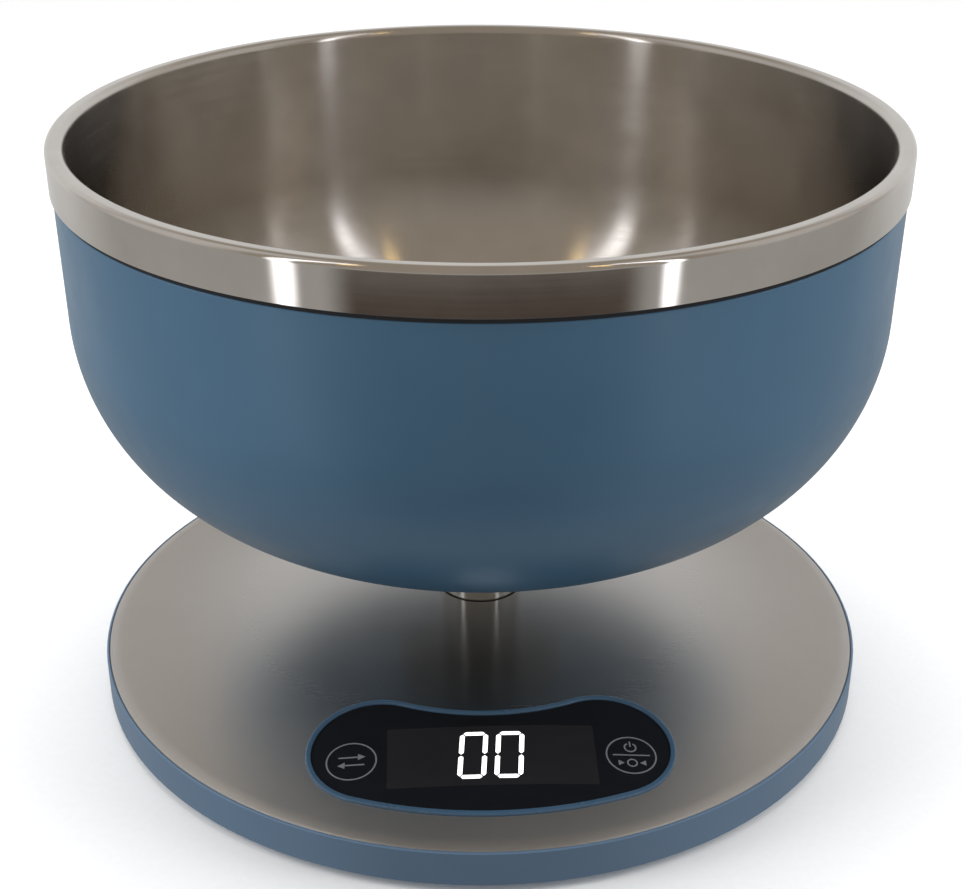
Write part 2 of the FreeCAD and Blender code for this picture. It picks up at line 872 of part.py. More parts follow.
def power_sign(x, y):
    """Open ring with a bar standing in its gap."""
    radius, gap = DIMENSIONS["power_radius"], DIMENSIONS["power_gap"]
    bar = DIMENSIONS["power_bar"]
    opening = bar_prism(x, y + radius, gap, radius * 1.5)
    return [
        ring_prism(x, y, radius).cut(opening),
        bar_prism(x, y + radius / 8 + bar / 2, DIMENSIONS["key_line"], bar)]


def zero_sign(x, y):
    """Ring between two pointers."""
    signs = [ring_prism(x, y, DIMENSIONS["zero_radius"])]
    length, head = DIMENSIONS["pointer_length"], DIMENSIONS["pointer_head"]
    for side in (-1, 1):
        tip = x + DIMENSIONS["pointer_tip"] * side
        signs.append(flat_prism([
            (tip, y), (tip + length * side, y + head), (tip + length * side, y - head)]))
    return signs


def make_key_marks():
    """Printed touch-key marks: ring and swap arrows, ring with power and zero signs."""
    key_x = DIMENSIONS["key_offset"]
    key_y = -DIMENSIONS["key_middle"]
    radius = DIMENSIONS["key_radius"]
    offset = DIMENSIONS["sign_offset"]
    solids = [ring_prism(-key_x, key_y, radius), ring_prism(key_x, key_y, radius)]
    solids += swap_arrows(-key_x, key_y)
    solids.append(bar_prism(key_x, key_y, DIMENSIONS["divider_length"], DIMENSIONS["key_line"]))
    solids += power_sign(key_x, key_y + offset)
    solids += zero_sign(key_x, key_y - offset)
    blanks = doc.addObject("Part::Feature", "mark_blanks")
    blanks.Shape = Part.makeCompound(solids)
    node("key_marks", common(
        "marks", blanks,
        dome_layer("mark_layer", D["lens_rise"], D["lens_rise"] + D["print_wall"] / 2)))


# ---------------------------------------------------------------- electronics


def make_circuit_board():
    """Board under the pod, with four screw holes."""
    blank = box(
        "board_blank", centred(0.0, D["board_length"]),
        centred(-D["board_middle"], D["board_width"]), (D["board_bottom"], board_top))
    holes = []
    for index, (x, y) in enumerate(board_screw_places()):
        holes.append(cylinder(
            f"board_hole_{index}", D["board_screw_hole"], D["pod_low"], board_top + D["sink"],
            x, y))
    node("circuit_board", cut("board", blank, holes))


def make_board_screws():
    """Four small screws up through the board."""
    screws = []
    head = D["board_bottom"]
    for index, (x, y) in enumerate(board_screw_places()):
        screws.append(fuse(f"board_screw_{index}", [
            cylinder(f"board_head_{index}", D["board_screw_head"],
                     head - D["board_screw_wall"], head, x, y),
            cylinder(f"board_shank_{index}", D["board_screw_shank"],
                     head - D["shank_sink"], board_top + D["board_screw_tip"], x, y),
        ]))
    node("board_screws", group("board_screw_set", screws))


def make_led_module():
    """Reflector block of the digit display, with its four digit wells."""
    top = board_top + D["module_height"]
    block = box(
        "module_block", centred(0.0, D["module_length"]),
        centred(-D["window_middle"], D["module_width"]), (board_top, top))
    wells = []
    for column in range(-2, 2):
        middle = D["digit_pitch"] * (column + 0.5)
        wells.append(box(
            f"module_well_{column + 2}", centred(middle, D["digit_width"]),
            centred(-D["window_middle"], D["digit_height"]),
            (top - D["module_well"], top + D["sink"])))
    node("led_module", cut("module", block, wells))


def make_board_chips():
    """Controller, converter and connector on the board's lower face."""
    low = D["board_bottom"]
    parts = []
    for index, (x, y, length, width, height) in enumerate(CHIPS):
        parts.append(box(
            f"chip_{index}", centred(x, length), centred(y, width), (low - height, low)))
    node("board_chips", group("chips", parts))


def make_touch_pads():
    """Foam-backed touch electrodes between the board and the lens, one for each key."""
    limit = under_lens("touch_layer")
    pads = []
    for side in (-1, 1):
        name = "left" if side < 0 else "right"
        blank = cylinder(
            f"touch_{name}", D["touch_radius"], board_top, D["pod_high"],
            D["touch_offset"] * side, -D["key_middle"])
        pads.append(common(f"touch_cut_{name}", blank, limit))
    node("touch_pads", group("touch_set", pads))


# ---------------------------------------------------------------- load cell


def cell_screw_places(side):
    """Distances of the two screws at one end of the load cell."""
    return [D["cell_screw_inner"] * side, D["cell_screw_outer"] * side]


def make_load_cell():
    """Aluminium bending beam with two eyes joined by a slot, bored at both ends."""
    height = D["cell_bottom"] + D["cell_height"] / 2
    beam = box(
        "cell_beam", centred(0.0, D["cell_length"]), centred(0.0, D["cell_width"]),
        (D["cell_bottom"], cell_top))
    holes = []
    for side in (-1, 1):
        name = "fixed" if side < 0 else "free"
        middle = (D["cell_eye_offset"] * side, size(0.0), height)
        holes.append(rod(f"cell_eye_{name}", D["cell_eye"], D["clear_side"], middle, "Y"))
        for index, x in enumerate(cell_screw_places(side)):
            holes.append(cylinder(
                f"cell_bore_{name}_{index}", D["cell_bore"], D["ground_gap"], arm_top, x))
    holes.append(box(
        "cell_slot_block", centred(0.0, D["cell_eye_offset"] * 2),
        centred(0.0, D["clear_side"]), centred(height, D["cell_slot"])))
    node("load_cell", cut("cell", beam, holes))


def make_strain_gauges():
    """Gauges with their sealant, over and under each eye of the beam."""
    gauges = []
    for side in (-1, 1):
        for name, low in (("top", cell_top), ("base", D["cell_bottom"] - D["gauge_wall"])):
            gauges.append(box(
                f"gauge_{name}_{side + 1}",
                centred(D["cell_eye_offset"] * side, D["gauge_length"]),
                centred(0.0, D["gauge_width"]), (low, low + D["gauge_wall"])))
    node("strain_gauges", group("gauges", gauges))


def spacer(label, side, low, high):
    """Pad under or over one end of the load cell."""
    outer = D["cell_length"] / 2
    ends = (outer - D["cell_pad_length"], outer) if side > 0 \
        else (-outer, -outer + D["cell_pad_length"])
    blank = box(label + "_blank", ends, centred(0.0, D["cell_width"]), (low, high))
    holes = []
    for index, x in enumerate(cell_screw_places(side)):
        holes.append(cylinder(
            f"{label}_hole_{index}", D["cell_screw_hole"], D["ground_gap"], arm_top, x))
    node(label, cut(label + "_cut", blank, holes))


def cell_screws(label, side, head_low, tip):
    """Two screws that clamp one end of the load cell."""
    head_high = head_low + D["cell_screw_wall"]
    sink = D["shank_sink"]
    low, high = (head_high - sink, tip) if side < 0 else (tip, head_low + sink)
    screws = []
    for index, x in enumerate(cell_screw_places(side)):
        screws.append(fuse(f"{label}_{index}", [
            cylinder(f"{label}_head_{index}", D["cell_screw_head"], head_low, head_high, x),
            cylinder(f"{label}_shank_{index}", D["cell_screw_shank"], low, high, x),
        ]))
    node(label, group(label + "_set", screws))


# ---------------------------------------------------------------- pedestal


def make_stem_hub():
    """Arm from the load cell's free end to the axis, with the boss the stem slides on."""
    outer = D["cell_length"] / 2 + D["arm_overhang"]
    above = arm_top + D["sink"]
    arm = fuse("hub_solid", [
        box("hub_arm", (0.0, outer), centred(0.0, D["arm_width"]), (arm_bottom, arm_top)),
        cylinder("hub_disc", D["hub_radius"], arm_bottom, arm_top),
        cylinder("hub_boss", boss_fit, arm_top - D["sink"], D["hub_boss_top"]),
    ])
    holes = [cylinder("hub_thread", D["bolt_thread"], arm_top - D["hub_thread_depth"], D["stem_top"])]
    for index, x in enumerate(cell_screw_places(1)):
        holes.append(cylinder(f"hub_hole_{index}", D["cell_screw_hole"], cell_top, above, x))
        holes.append(cylinder(
            f"hub_recess_{index}", D["cell_screw_recess"], arm_top - D["cell_screw_wall"], above, x))
    node("stem_hub", cut("hub", arm, holes))


def make_stem_tube():
    """Polished tube."""
    node("stem_tube", revolved("tube", [
        (stem_bore, arm_top),
        (D["stem_radius"], arm_top),
        (D["stem_radius"], D["stem_top"]),
        (stem_bore, D["stem_top"]),
    ]))


def make_bowl_support():
    """Disc and keyed spigot on top of the tube."""
    bottom = D["stem_top"] - D["support_depth"]
    radius = D["support_radius"]
    edge = D["support_edge"]
    counterbore = D["bolt_head_radius"] + D["bolt_head_gap"]
    solid = revolved("support", [
        (D["bolt_bore"], bottom),
        (boss_fit, bottom),
        (boss_fit, D["stem_top"]),
        (radius - edge, D["stem_top"]),
        (radius, D["stem_top"] + edge),
        (radius, support_top - edge / 2),
        (radius - edge / 2, support_top),
        (D["spigot_radius"], support_top),
        (D["spigot_radius"], D["spigot_top"] - edge),
        (D["spigot_radius"] - edge, D["spigot_top"]),
        (counterbore, D["spigot_top"]),
        (counterbore, D["bolt_head_bottom"]),
        (D["bolt_bore"], D["bolt_head_bottom"]),
    ])
    side = D["clear_side"]
    flats = []
    for name, low, high in (("front", -side, -D["spigot_flat"]), ("back", D["spigot_flat"], side)):
        flats.append(box(
            f"spigot_flat_{name}", (-side, side), (low, high), (support_top, D["clear_top"])))
    node("bowl_support", cut("support_keyed", solid, flats))


def make_support_pad():
    """Silicone ring that the bowl rests on."""
    inner = D["spigot_radius"] + D["pad_inset"]
    outer = D["support_radius"] - D["pad_inset"]
    top = support_top + D["pad_wall"]
    node("support_pad", revolved("pad_ring", [
        (inner, support_top), (outer, support_top), (outer, top), (inner, top)]))


def make_tie_bolt():
    """Long bolt that clamps support, tube and hub together."""
    top = D["spigot_top"] - D["bolt_inset"]
    blank = fuse("bolt_solid", [
        cylinder("bolt_head", D["bolt_head_radius"], D["bolt_head_bottom"], top),
        cylinder("bolt_shank", D["bolt_radius"], arm_top + D["sink"],
                 D["bolt_head_bottom"] + D["sink"]),
    ])
    socket = doc.addObject("Part::Prism", "bolt_hex")
    socket.Polygon = 6
    bind(socket, "Circumradius", D["bolt_hexagon"])
    bind(socket, "Height", D["bolt_socket"] * 2)
    place(socket, 0.0, 0.0, top - D["bolt_socket"])
    node("tie_bolt", cut("bolt", blank, [socket]))


# ---------------------------------------------------------------- bowl


def make_bowl_shell():
    """Moulded outer shell with a tongue that stands inside the steel rim."""
    wall = D["shell_wall"]
    centre = D["shell_corner_height"]
    corner = D["shell_corner"]
    flat = shell_side - corner
    bottom = D["bowl_bottom"]
    edge = D["shell_edge"]
    solid = revolved("shell", [
        (0.0, bottom),
        (flat, bottom, corner, 1),
        (shell_side, centre),
        (D["shell_radius"], D["shell_top"] - edge),
        (D["shell_radius"] - edge, D["shell_top"]),
        (shell_tongue, D["shell_top"]),
        (shell_tongue, D["tongue_top"]),
        (shell_inside, D["tongue_top"]),
        (shell_inside, centre, corner - wall, -1),
        (flat, bottom + wall),
        (0.0, bottom + wall),
    ])
    low, high = bottom - D["sink"], bottom + wall + D["sink"]
    holes = [cylinder("shell_hole", D["socket_radius"] + D["fit_gap"] * 2, low, high)]
    for index, (x, y) in enumerate(around(D["socket_screw_circle"], SOCKET_ANGLES)):
        holes.append(cylinder(f"shell_screw_{index}", D["screw_hole"], low, high, x, y))
        holes.append(cylinder(f"shell_recess_{index}", D["screw_recess"], low, socket_seat, x, y))
    node("bowl_shell", cut("shell_cut", solid, holes))


def make_rim_gasket():
    """Dark seal ring between the steel band and the shell's shoulder."""
    outer = shell_tongue + D["gasket_wall"]
    top = D["band_bottom"] + D["gasket_overlap"]
    node("rim_gasket", revolved("gasket", [
        (shell_tongue, D["shell_top"]), (outer, D["shell_top"]), (outer, top), (shell_tongue, top)]))


def make_bowl_liner():
    """Steel bowl with its wall folded over into a tall rim band."""
    wall = D["liner_wall"]
    outer = shell_inside - D["liner_gap"]
    inner = outer - wall
    corner = D["liner_corner"]
    flat = outer - corner
    bottom = D["liner_bottom"]
    centre = bottom + corner
    band = D["band_radius"]
    top = D["rim_top"]
    outer_round = D["rim_outer_round"]
    inner_round = D["rim_inner_round"]
    node("bowl_liner", revolved("liner", [
        (0.0, bottom),
        (flat, bottom, corner, 1),
        (outer, centre),
        (outer, top - inner_round, inner_round - wall, -1),
        (outer + inner_round - wall, top - wall),
        (band - outer_round, top - wall, outer_round - wall, -1),
        (band - wall, top - outer_round),
        (band - wall, D["band_bottom"]),
        (band, D["band_bottom"]),
        (band, top - outer_round, outer_round, 1),
        (band - outer_round, top),
        (inner + inner_round, top, inner_round, 1),
        (inner, top - inner_round),
        (inner, centre, corner - wall, -1),
        (flat, bottom + wall),
        (0.0, bottom + wall),
    ]))


def make_bowl_socket():
    """Keyed socket under the bowl that drops over the spigot."""
    bottom = D["bowl_bottom"]
    flange = bottom + D["shell_wall"]
    flange_top = flange + D["socket_flange_wall"]
    solids = [revolved("socket_solid", [
        (0.0, bottom),
        (D["socket_radius"], bottom),
        (D["socket_radius"], flange),
        (D["socket_flange"], flange),
        (D["socket_flange"], flange_top),
        (D["socket_radius"], flange_top),
        (D["socket_radius"], D["socket_top"]),
        (0.0, D["socket_top"]),
    ])]
    gap = D["socket_gap"]
    flat = D["spigot_flat"] + gap
    side = D["clear_side"]
    low = bottom - D["sink"]
    hollow = common(
        "socket_hollow",
        cylinder("socket_round", D["spigot_radius"] + gap, low, D["spigot_top"] + gap * 2),
        box("socket_flats", (-side, side), (-flat, flat), (low, D["clear_top"])))
    holes = [hollow]
    for index, (x, y) in enumerate(around(D["socket_screw_circle"], SOCKET_ANGLES)):
        solids.append(cylinder(
            f"socket_boss_{index}", D["socket_boss_radius"], flange_top - D["sink"],
            flange_top + D["socket_boss_height"], x, y))
        holes.append(cylinder(
            f"socket_thread_{index}", D["socket_thread"], bottom,
            flange_top + D["socket_boss_height"] * 0.8, x, y))
    node("bowl_socket", cut("socket", fuse("socket_bossed", solids), holes))


def make_socket_screws():
    """Three screws up through the shell into the socket."""
    screws = []
    for index, (x, y) in enumerate(around(D["socket_screw_circle"], SOCKET_ANGLES)):
        screws.append(fuse(f"socket_screw_{index}", [
            cylinder(f"socket_head_{index}", D["screw_head"],
                     socket_seat - D["screw_head_wall"], socket_seat, x, y),
            cylinder(f"socket_shank_{index}", D["socket_shank"],
                     socket_seat - D["shank_sink"], socket_seat + D["socket_screw_length"], x, y),
        ]))
    node("socket_screws", group("socket_screw_set", screws))


# ---------------------------------------------------------------- battery bay


def make_battery_door():
    """Door on a barrel hinge, flush with the housing's floor."""
    half = D["bay_length"] / 2 - D["door_gap"]
    hinge_y, hinge_z = hinge_line
    bottom = D["ground_gap"]
    panel = fuse("door_solid", [
        box("door_panel", (-half, half), (hinge_y, D["bay_back"] - D["door_gap"]),
            (bottom, bottom + D["door_wall"])),
        rod("door_barrel", D["hinge_radius"], half * 2, (0.0, hinge_y, hinge_z), "X"),
    ])
    holes = [rod("door_pin_hole", D["hinge_pin"] + D["fit_gap"], D["bay_length"],
                 (0.0, hinge_y, hinge_z), "X")]
    for index in range(DOOR_GROOVES):
        y = D["bay_back"] - D["groove_margin"] - D["groove_pitch"] * index
        holes.append(box(
            f"door_groove_{index}", centred(0.0, D["groove_length"]),
            centred(y, D["groove_width"]), (below, bottom + D["groove_depth"])))
    node("battery_door", cut("door", panel, holes))


def make_hinge_pin():
    """Steel pin through the door's barrel and into the floor."""
    node("hinge_pin", rod(
        "pin", D["hinge_pin"], D["bay_length"] + D["pin_overhang"] * 2, (0.0, *hinge_line), "X"))


def battery_rows():
    """Y of each cell in the bay, and which way its positive end faces."""
    middle = (D["bay_front"] + D["bay_back"]) / 2
    return [(middle + D["cell_aaa_pitch"] * step, 1 if step % 2 else -1) for step in (-1, 0, 1)]


def make_batteries():
    """Three AAA cells, laid head to tail."""
    cells = []
    height = D["cell_aaa_height"]
    half = D["cell_aaa_length"] / 2
    for index, (y, facing) in enumerate(battery_rows()):
        shift = -D["cell_aaa_nub"] / 2 * facing
        cells.append(fuse(f"aaa_{index}", [
            rod(f"aaa_can_{index}", D["cell_aaa_radius"], D["cell_aaa_length"],
                (shift, y, height), "X"),
            rod(f"aaa_nub_{index}", D["cell_aaa_nub_radius"], D["cell_aaa_nub"] * 2,
                (shift + half * facing, y, height), "X"),
        ]))
    node("batteries", group("aaa_set", cells))


def make_battery_contacts():
    """Contact plates at both ends of the bay, with a nub or a spring for each cell."""
    wall = D["contact_wall"]
    half_bay = D["bay_length"] / 2
    height = D["cell_aaa_height"]
    half_cell = (D["cell_aaa_length"] + D["cell_aaa_nub"]) / 2
    contacts = []
    for index, (y, facing) in enumerate(battery_rows()):
        for side in (-1, 1):
            name = f"{index}_{side + 1}"
            plate_x = (half_bay - wall / 2) * side
            plate = box(f"contact_plate_{name}", centred(plate_x, wall),
                        centred(y, D["contact_side"]), centred(height, D["contact_side"]))
            reach = half_bay - wall - half_cell
            radius = D["contact_nub"] if side == facing else D["contact_spring"]
            nub = rod(f"contact_nub_{name}", radius, reach + wall / 2,
                      ((half_cell + (reach + wall / 2) / 2) * side, y, height), "X")
            contacts.append(fuse(f"contact_{name}", [plate, nub]))
    node("battery_contacts", group("contacts", contacts))


# ---------------------------------------------------------------- document


def build():
    """Make every sub-part."""
    make_base_housing()
    make_top_plate()
    make_plate_studs()
    make_housing_screws()
    make_rubber_feet()
    make_display_trim()
    make_display_lens()
    make_display_window()
    make_display_digits()
    make_key_marks()
    make_circuit_board()
    make_board_screws()
    make_led_module()
    make_board_chips()
    make_touch_pads()
    make_load_cell()
    make_strain_gauges()
    spacer("cell_base_pad", -1, floor_top, D["cell_bottom"])
    spacer("cell_top_pad", 1, cell_top, arm_bottom)
    cell_screws("cell_base_screws", -1, cell_head_low, D["cell_base_tip"])
    cell_screws("cell_top_screws", 1, arm_top - D["cell_screw_wall"], D["cell_top_tip"])
    make_stem_hub()
    make_stem_tube()
    make_bowl_support()
    make_support_pad()
    make_tie_bolt()
    make_bowl_shell()
    make_rim_gasket()
    make_bowl_liner()
    make_bowl_socket()
    make_socket_screws()
    make_battery_door()
    make_hinge_pin()
    make_batteries()
    make_battery_contacts()


def check(document):
    """Stop if any object failed or any sub-part has no valid solid."""
    for item in document.Objects:
        if "Invalid" in item.State or "Error" in item.State:
            raise RuntimeError(f"{item.Label} failed: {item.State}")
    for item in nodes:
        if item.Shape.isNull() or not item.Shape.isValid() or not item.Shape.Solids:
            raise RuntimeError(f"{item.Label} has no valid solid")


def export():
    """Write one STEP file for each sub-part."""
    os.makedirs("parts", exist_ok=True)
    for item in nodes:
        item.Shape.exportStep(f"parts/{item.Label}.step")
        print(f"{item.Label}: {len(item.Shape.Solids)} solids, {item.Shape.Volume:.1f} mm3")


build()
doc.recompute()
check(doc)
export()
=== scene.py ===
import json
import math

import bmesh
import bpy
from mathutils import Matrix, Vector


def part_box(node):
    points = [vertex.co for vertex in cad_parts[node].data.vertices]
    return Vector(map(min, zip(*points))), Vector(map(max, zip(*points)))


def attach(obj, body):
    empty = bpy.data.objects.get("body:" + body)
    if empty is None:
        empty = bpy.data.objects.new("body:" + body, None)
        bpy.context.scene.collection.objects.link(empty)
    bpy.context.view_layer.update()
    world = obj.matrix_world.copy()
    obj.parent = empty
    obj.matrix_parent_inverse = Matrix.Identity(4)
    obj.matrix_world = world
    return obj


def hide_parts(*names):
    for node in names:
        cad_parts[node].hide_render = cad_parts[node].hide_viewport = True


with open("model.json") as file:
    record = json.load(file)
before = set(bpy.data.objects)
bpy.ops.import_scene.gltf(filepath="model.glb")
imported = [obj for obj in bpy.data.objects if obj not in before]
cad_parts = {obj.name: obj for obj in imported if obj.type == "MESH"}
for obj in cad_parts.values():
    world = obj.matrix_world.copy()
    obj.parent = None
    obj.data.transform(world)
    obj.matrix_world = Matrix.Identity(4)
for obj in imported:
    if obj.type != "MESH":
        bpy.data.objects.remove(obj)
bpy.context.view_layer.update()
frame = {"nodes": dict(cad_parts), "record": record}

MM = 0.001
TURNS = 288
SHARP = 35.0

# ------------------------------------------------------------------ sizes, in metres

base_low, base_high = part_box("base_housing")
plate_low, plate_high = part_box("top_plate")
shell_low, shell_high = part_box("bowl_shell")
liner_low, liner_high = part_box("bowl_liner")
tube_low, tube_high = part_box("stem_tube")
trim_low, trim_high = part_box("display_trim")
window_low, window_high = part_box("display_window")
digits_low, digits_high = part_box("display_digits")
marks_low, marks_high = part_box("key_marks")

BASE_RADIUS = base_high.y
RIM_RADIUS = liner_high.y
RIM_TOP = liner_high.z
BAND_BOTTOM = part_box("rim_gasket")[1].z - 1.5 * MM
SHELL_RADIUS = shell_high.y
SHELL_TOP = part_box("rim_gasket")[0].z
SHELL_BOTTOM = shell_low.z
SHELL_CORNER = 54.5 * MM
SHELL_WALL = 2.4 * MM
SOCKET_SCREW_HEAD = 2.9 * MM
LINER_BOTTOM = liner_low.z
LINER_CORNER = 44.0 * MM
LINER_WALL = 0.8 * MM
LINER_RADIUS = SHELL_RADIUS - 3.1 * MM
TUBE_RADIUS = tube_high.y
DOME_RADIUS = 567.0 * MM
STEM_HOLE = 11.65 * MM
PLATE_RADIUS = plate_high.y
PLATE_LEDGE = plate_low.z
DOME_APEX = plate_high.z + DOME_RADIUS - math.sqrt(DOME_RADIUS ** 2 - STEM_HOLE ** 2)
PLATE_BORDER = 100.8 * MM
PLATE_SHOULDER = 104.0 * MM
BORDER_BEND = 14.0 * MM
PLATE_WALL = 0.8 * MM
BRUSH_SCALE = 5.0

POD_FRONT = -trim_low.y
POD_LOBE = 17.7 * MM
POD_LOBE_X = trim_high.x - POD_LOBE
POD_BACK = 59.5 * MM
POD_OPENING = 0.6 * MM
CUT_TOP = 30 * MM
TRIM_RISE = 0.8 * MM
TRIM_WIDTH = 1.4 * MM
LENS_RISE = 0.25 * MM
LENS_GAP = 0.03 * MM
LENS_DEPTH = 1.5 * MM
PRINT_DEPTH = 0.02 * MM

WINDOW_MIDDLE = (window_low.y + window_high.y) / 2
DIGIT_HEIGHT = digits_high.y - digits_low.y
DIGIT_X = (digits_low.x + digits_high.x) / 2
DIGIT_WIDTH = 7.0 * MM
DIGIT_PITCH = 9.0 * MM
DIGIT_SLANT = 0.08
BAR_WIDTH = 1.2 * MM
KEY_RADIUS = (marks_high.y - marks_low.y) / 2
KEY_X = marks_high.x - KEY_RADIUS
KEY_Y = (marks_low.y + marks_high.y) / 2
KEY_LINE = 0.4 * MM


def dome(x, y):
    """Height of the plate's dome over a point."""
    return DOME_APEX - DOME_RADIUS + math.sqrt(DOME_RADIUS ** 2 - x * x - y * y)


# ------------------------------------------------------------------ mesh building


def arc(x, z, radius, start, end, steps):
    """Points along an arc, angles in degrees."""
    points = []
    for step in range(steps + 1):
        angle = math.radians(start + (end - start) * step / steps)
        points.append((x + radius * math.cos(angle), z + radius * math.sin(angle)))
    return points


def finish_mesh(name, mesh, sharp=SHARP):
    """Shade a mesh smooth except at its real edges, and link it."""
    mesh.shade_smooth()
    mesh.set_sharp_from_angle(angle=math.radians(sharp))
    item = bpy.data.objects.new(name, mesh)
    bpy.context.scene.collection.objects.link(item)
    return item


def built_mesh(name, build):
    """Turn a finished bmesh into a mesh with its normals outwards."""
    bmesh.ops.recalc_face_normals(build, faces=build.faces)
    mesh = bpy.data.meshes.new(name)
    build.to_mesh(mesh)
    build.free()
    return mesh


def plain_item(name, build):
    """Link a finished bmesh with flat shading."""
    item = bpy.data.objects.new(name, built_mesh(name, build))
    bpy.context.scene.collection.objects.link(item)
    return item


def circle_points(x, y, radius, steps):
    """Points round a circle, anticlockwise from +X."""
    angles = [2 * math.pi * step / steps for step in range(steps)]
    return [(x + radius * math.cos(angle), y + radius * math.sin(angle)) for angle in angles]


def lathe(name, profile, turns=TURNS, sharp=SHARP):
    """Closed solid turned about Z from a closed profile of (radius, height)."""
    build = bmesh.new()
    rings = []
    for radius, height in profile:
        if radius < 1e-7:
            rings.append([build.verts.new((0.0, 0.0, height))] * turns)
            continue
        ring = []
        for step in range(turns):
            angle = 2 * math.pi * step / turns
            ring.append(build.verts.new((radius * math.cos(angle), radius * math.sin(angle), height)))
        rings.append(ring)
    for index, ring in enumerate(rings):
        following = rings[(index + 1) % len(rings)]
        for step in range(turns):
            after = (step + 1) % turns
            corners = [ring[step], ring[after], following[after], following[step]]
            unique = list(dict.fromkeys(corners))
            if len(unique) > 2:
                build.faces.new(unique)
    return finish_mesh(name, built_mesh(name, build), sharp)


def pod_outline(inset, spacing=0.5 * MM):
    """Points round the pod, moved inwards by inset, and the outward direction at each."""
    reach = POD_FRONT - POD_LOBE
    lobe_y = -math.sqrt(reach ** 2 - POD_LOBE_X ** 2)
    hollow = -(lobe_y + POD_BACK)
    back = (POD_LOBE_X ** 2 + hollow ** 2 - POD_LOBE ** 2) / (2 * (POD_LOBE - hollow))
    back_y = back - POD_BACK
    front_angle = math.atan2(lobe_y, POD_LOBE_X)
    rear_angle = math.atan2(back_y - lobe_y, -POD_LOBE_X)
    arcs = [
        (0.0, 0.0, POD_FRONT - inset, -math.pi - front_angle, front_angle, 1),
        (POD_LOBE_X, lobe_y, POD_LOBE - inset, front_angle, rear_angle, 1),
        (0.0, back_y, back + inset, rear_angle - math.pi, -rear_angle, -1),
        (-POD_LOBE_X, lobe_y, POD_LOBE - inset, math.pi - rear_angle, math.pi - front_angle, 1),
    ]
    points = []
    for x, y, radius, start, end, side in arcs:
        steps = max(6, round(abs(end - start) * radius / spacing))
        for step in range(steps):
            angle = start + (end - start) * step / steps
            way = Vector((math.cos(angle), math.sin(angle)))
            points.append((Vector((x, y)) + way * radius, way * side))
    return points


def pod_band(name, section):
    """Closed band that follows the pod's outline; section is (inset, rise over the dome)."""
    build = bmesh.new()
    outline = pod_outline(0.0)
    rings = []
    for point, outward in outline:
        ring = []
        for inset, rise in section:
            x, y = point - outward * inset
            ring.append(build.verts.new((x, y, dome(x, y) + rise)))
        rings.append(ring)
    for index, ring in enumerate(rings):
        following = rings[(index + 1) % len(rings)]
        for step in range(len(section)):
            after = (step + 1) % len(section)
            build.faces.new([ring[step], following[step], following[after], ring[after]])
    return finish_mesh(name, built_mesh(name, build))


def flat_prism(name, outline, low, high):
    """Upright prism over a plain outline of (x, y)."""
    build = bmesh.new()
    lower = [build.verts.new((x, y, low)) for x, y in outline]
    upper = [build.verts.new((x, y, high)) for x, y in outline]
    build.faces.new(lower[::-1])
    build.faces.new(upper)
    for index in range(len(outline)):
        after = (index + 1) % len(outline)
        build.faces.new([lower[index], lower[after], upper[after], upper[index]])
    return plain_item(name, build)


def boolean(item, tool, operation):
    """Apply one exact boolean and remove the tool."""
    modifier = item.modifiers.new("shape", "BOOLEAN")
    modifier.object = tool
    modifier.operation = operation
    modifier.solver = "EXACT"
    depsgraph = bpy.context.evaluated_depsgraph_get()
    mesh = bpy.data.meshes.new_from_object(item.evaluated_get(depsgraph))
    mesh.set_sharp_from_angle(angle=math.radians(SHARP))
    item.modifiers.clear()
    item.data = mesh
    bpy.data.objects.remove(tool)
    return item


def dome_slab(name, corner_low, corner_high, spacing, rise_low, rise_high):
    """Slab that follows the dome over a rectangle, in a fine grid."""
    build = bmesh.new()
    count_x = max(1, round((corner_high[0] - corner_low[0]) / spacing))
    count_y = max(1, round((corner_high[1] - corner_low[1]) / spacing))
    layers = []
    for rise in (rise_low, rise_high):
        grid = []
        for row in range(count_y + 1):
            y = corner_low[1] + (corner_high[1] - corner_low[1]) * row / count_y
            line = []
            for column in range(count_x + 1):
                x = corner_low[0] + (corner_high[0] - corner_low[0]) * column / count_x
                line.append(build.verts.new((x, y, dome(x, y) + rise)))
            grid.append(line)
        layers.append(grid)
    for grid in layers:
        for row in range(count_y):
            for column in range(count_x):
                build.faces.new([
                    grid[row][column], grid[row][column + 1],
                    grid[row + 1][column + 1], grid[row + 1][column]])
    low, high = layers
    border = [(0, c) for c in range(count_x)] + [(r, count_x) for r in range(count_y)] \
        + [(count_y, c) for c in range(count_x, 0, -1)] + [(r, 0) for r in range(count_y, 0, -1)]
    for index, (row, column) in enumerate(border):
        next_row, next_column = border[(index + 1) % len(border)]
        build.faces.new([
            low[row][column], low[next_row][next_column],
            high[next_row][next_column], high[row][column]])
    return finish_mesh(name, built_mesh(name, build))


def plates(name, outlines, rise, thickness):
    """Thin plates lying on the dome, one for each outline of (x, y) points."""
    build = bmesh.new()
    for outline in outlines:
        lower = [build.verts.new((x, y, dome(x, y) + rise)) for x, y in outline]
        upper = [build.verts.new((x, y, dome(x, y) + rise + thickness)) for x, y in outline]
        build.faces.new(lower[::-1])
        build.faces.new(upper)
        for index in range(len(outline)):
            after = (index + 1) % len(outline)
            build.faces.new([lower[index], lower[after], upper[after], upper[index]])
    return plain_item(name, build)


def ring_strips(x, y, radius, line, start=0.0, end=360.0, steps=72):
    """Short four-cornered outlines that make up a ring or part of one."""
    outlines = []
    for step in range(steps):
        first = math.radians(start + (end - start) * step / steps)
        second = math.radians(start + (end - start) * (step + 1) / steps)
        corners = []
        for reach, angle in ((radius, first), (radius, second),
                             (radius - line, second), (radius - line, first)):
            corners.append((x + reach * math.cos(angle), y + reach * math.sin(angle)))
        outlines.append(corners)
    return outlines


# ------------------------------------------------------------------ materials


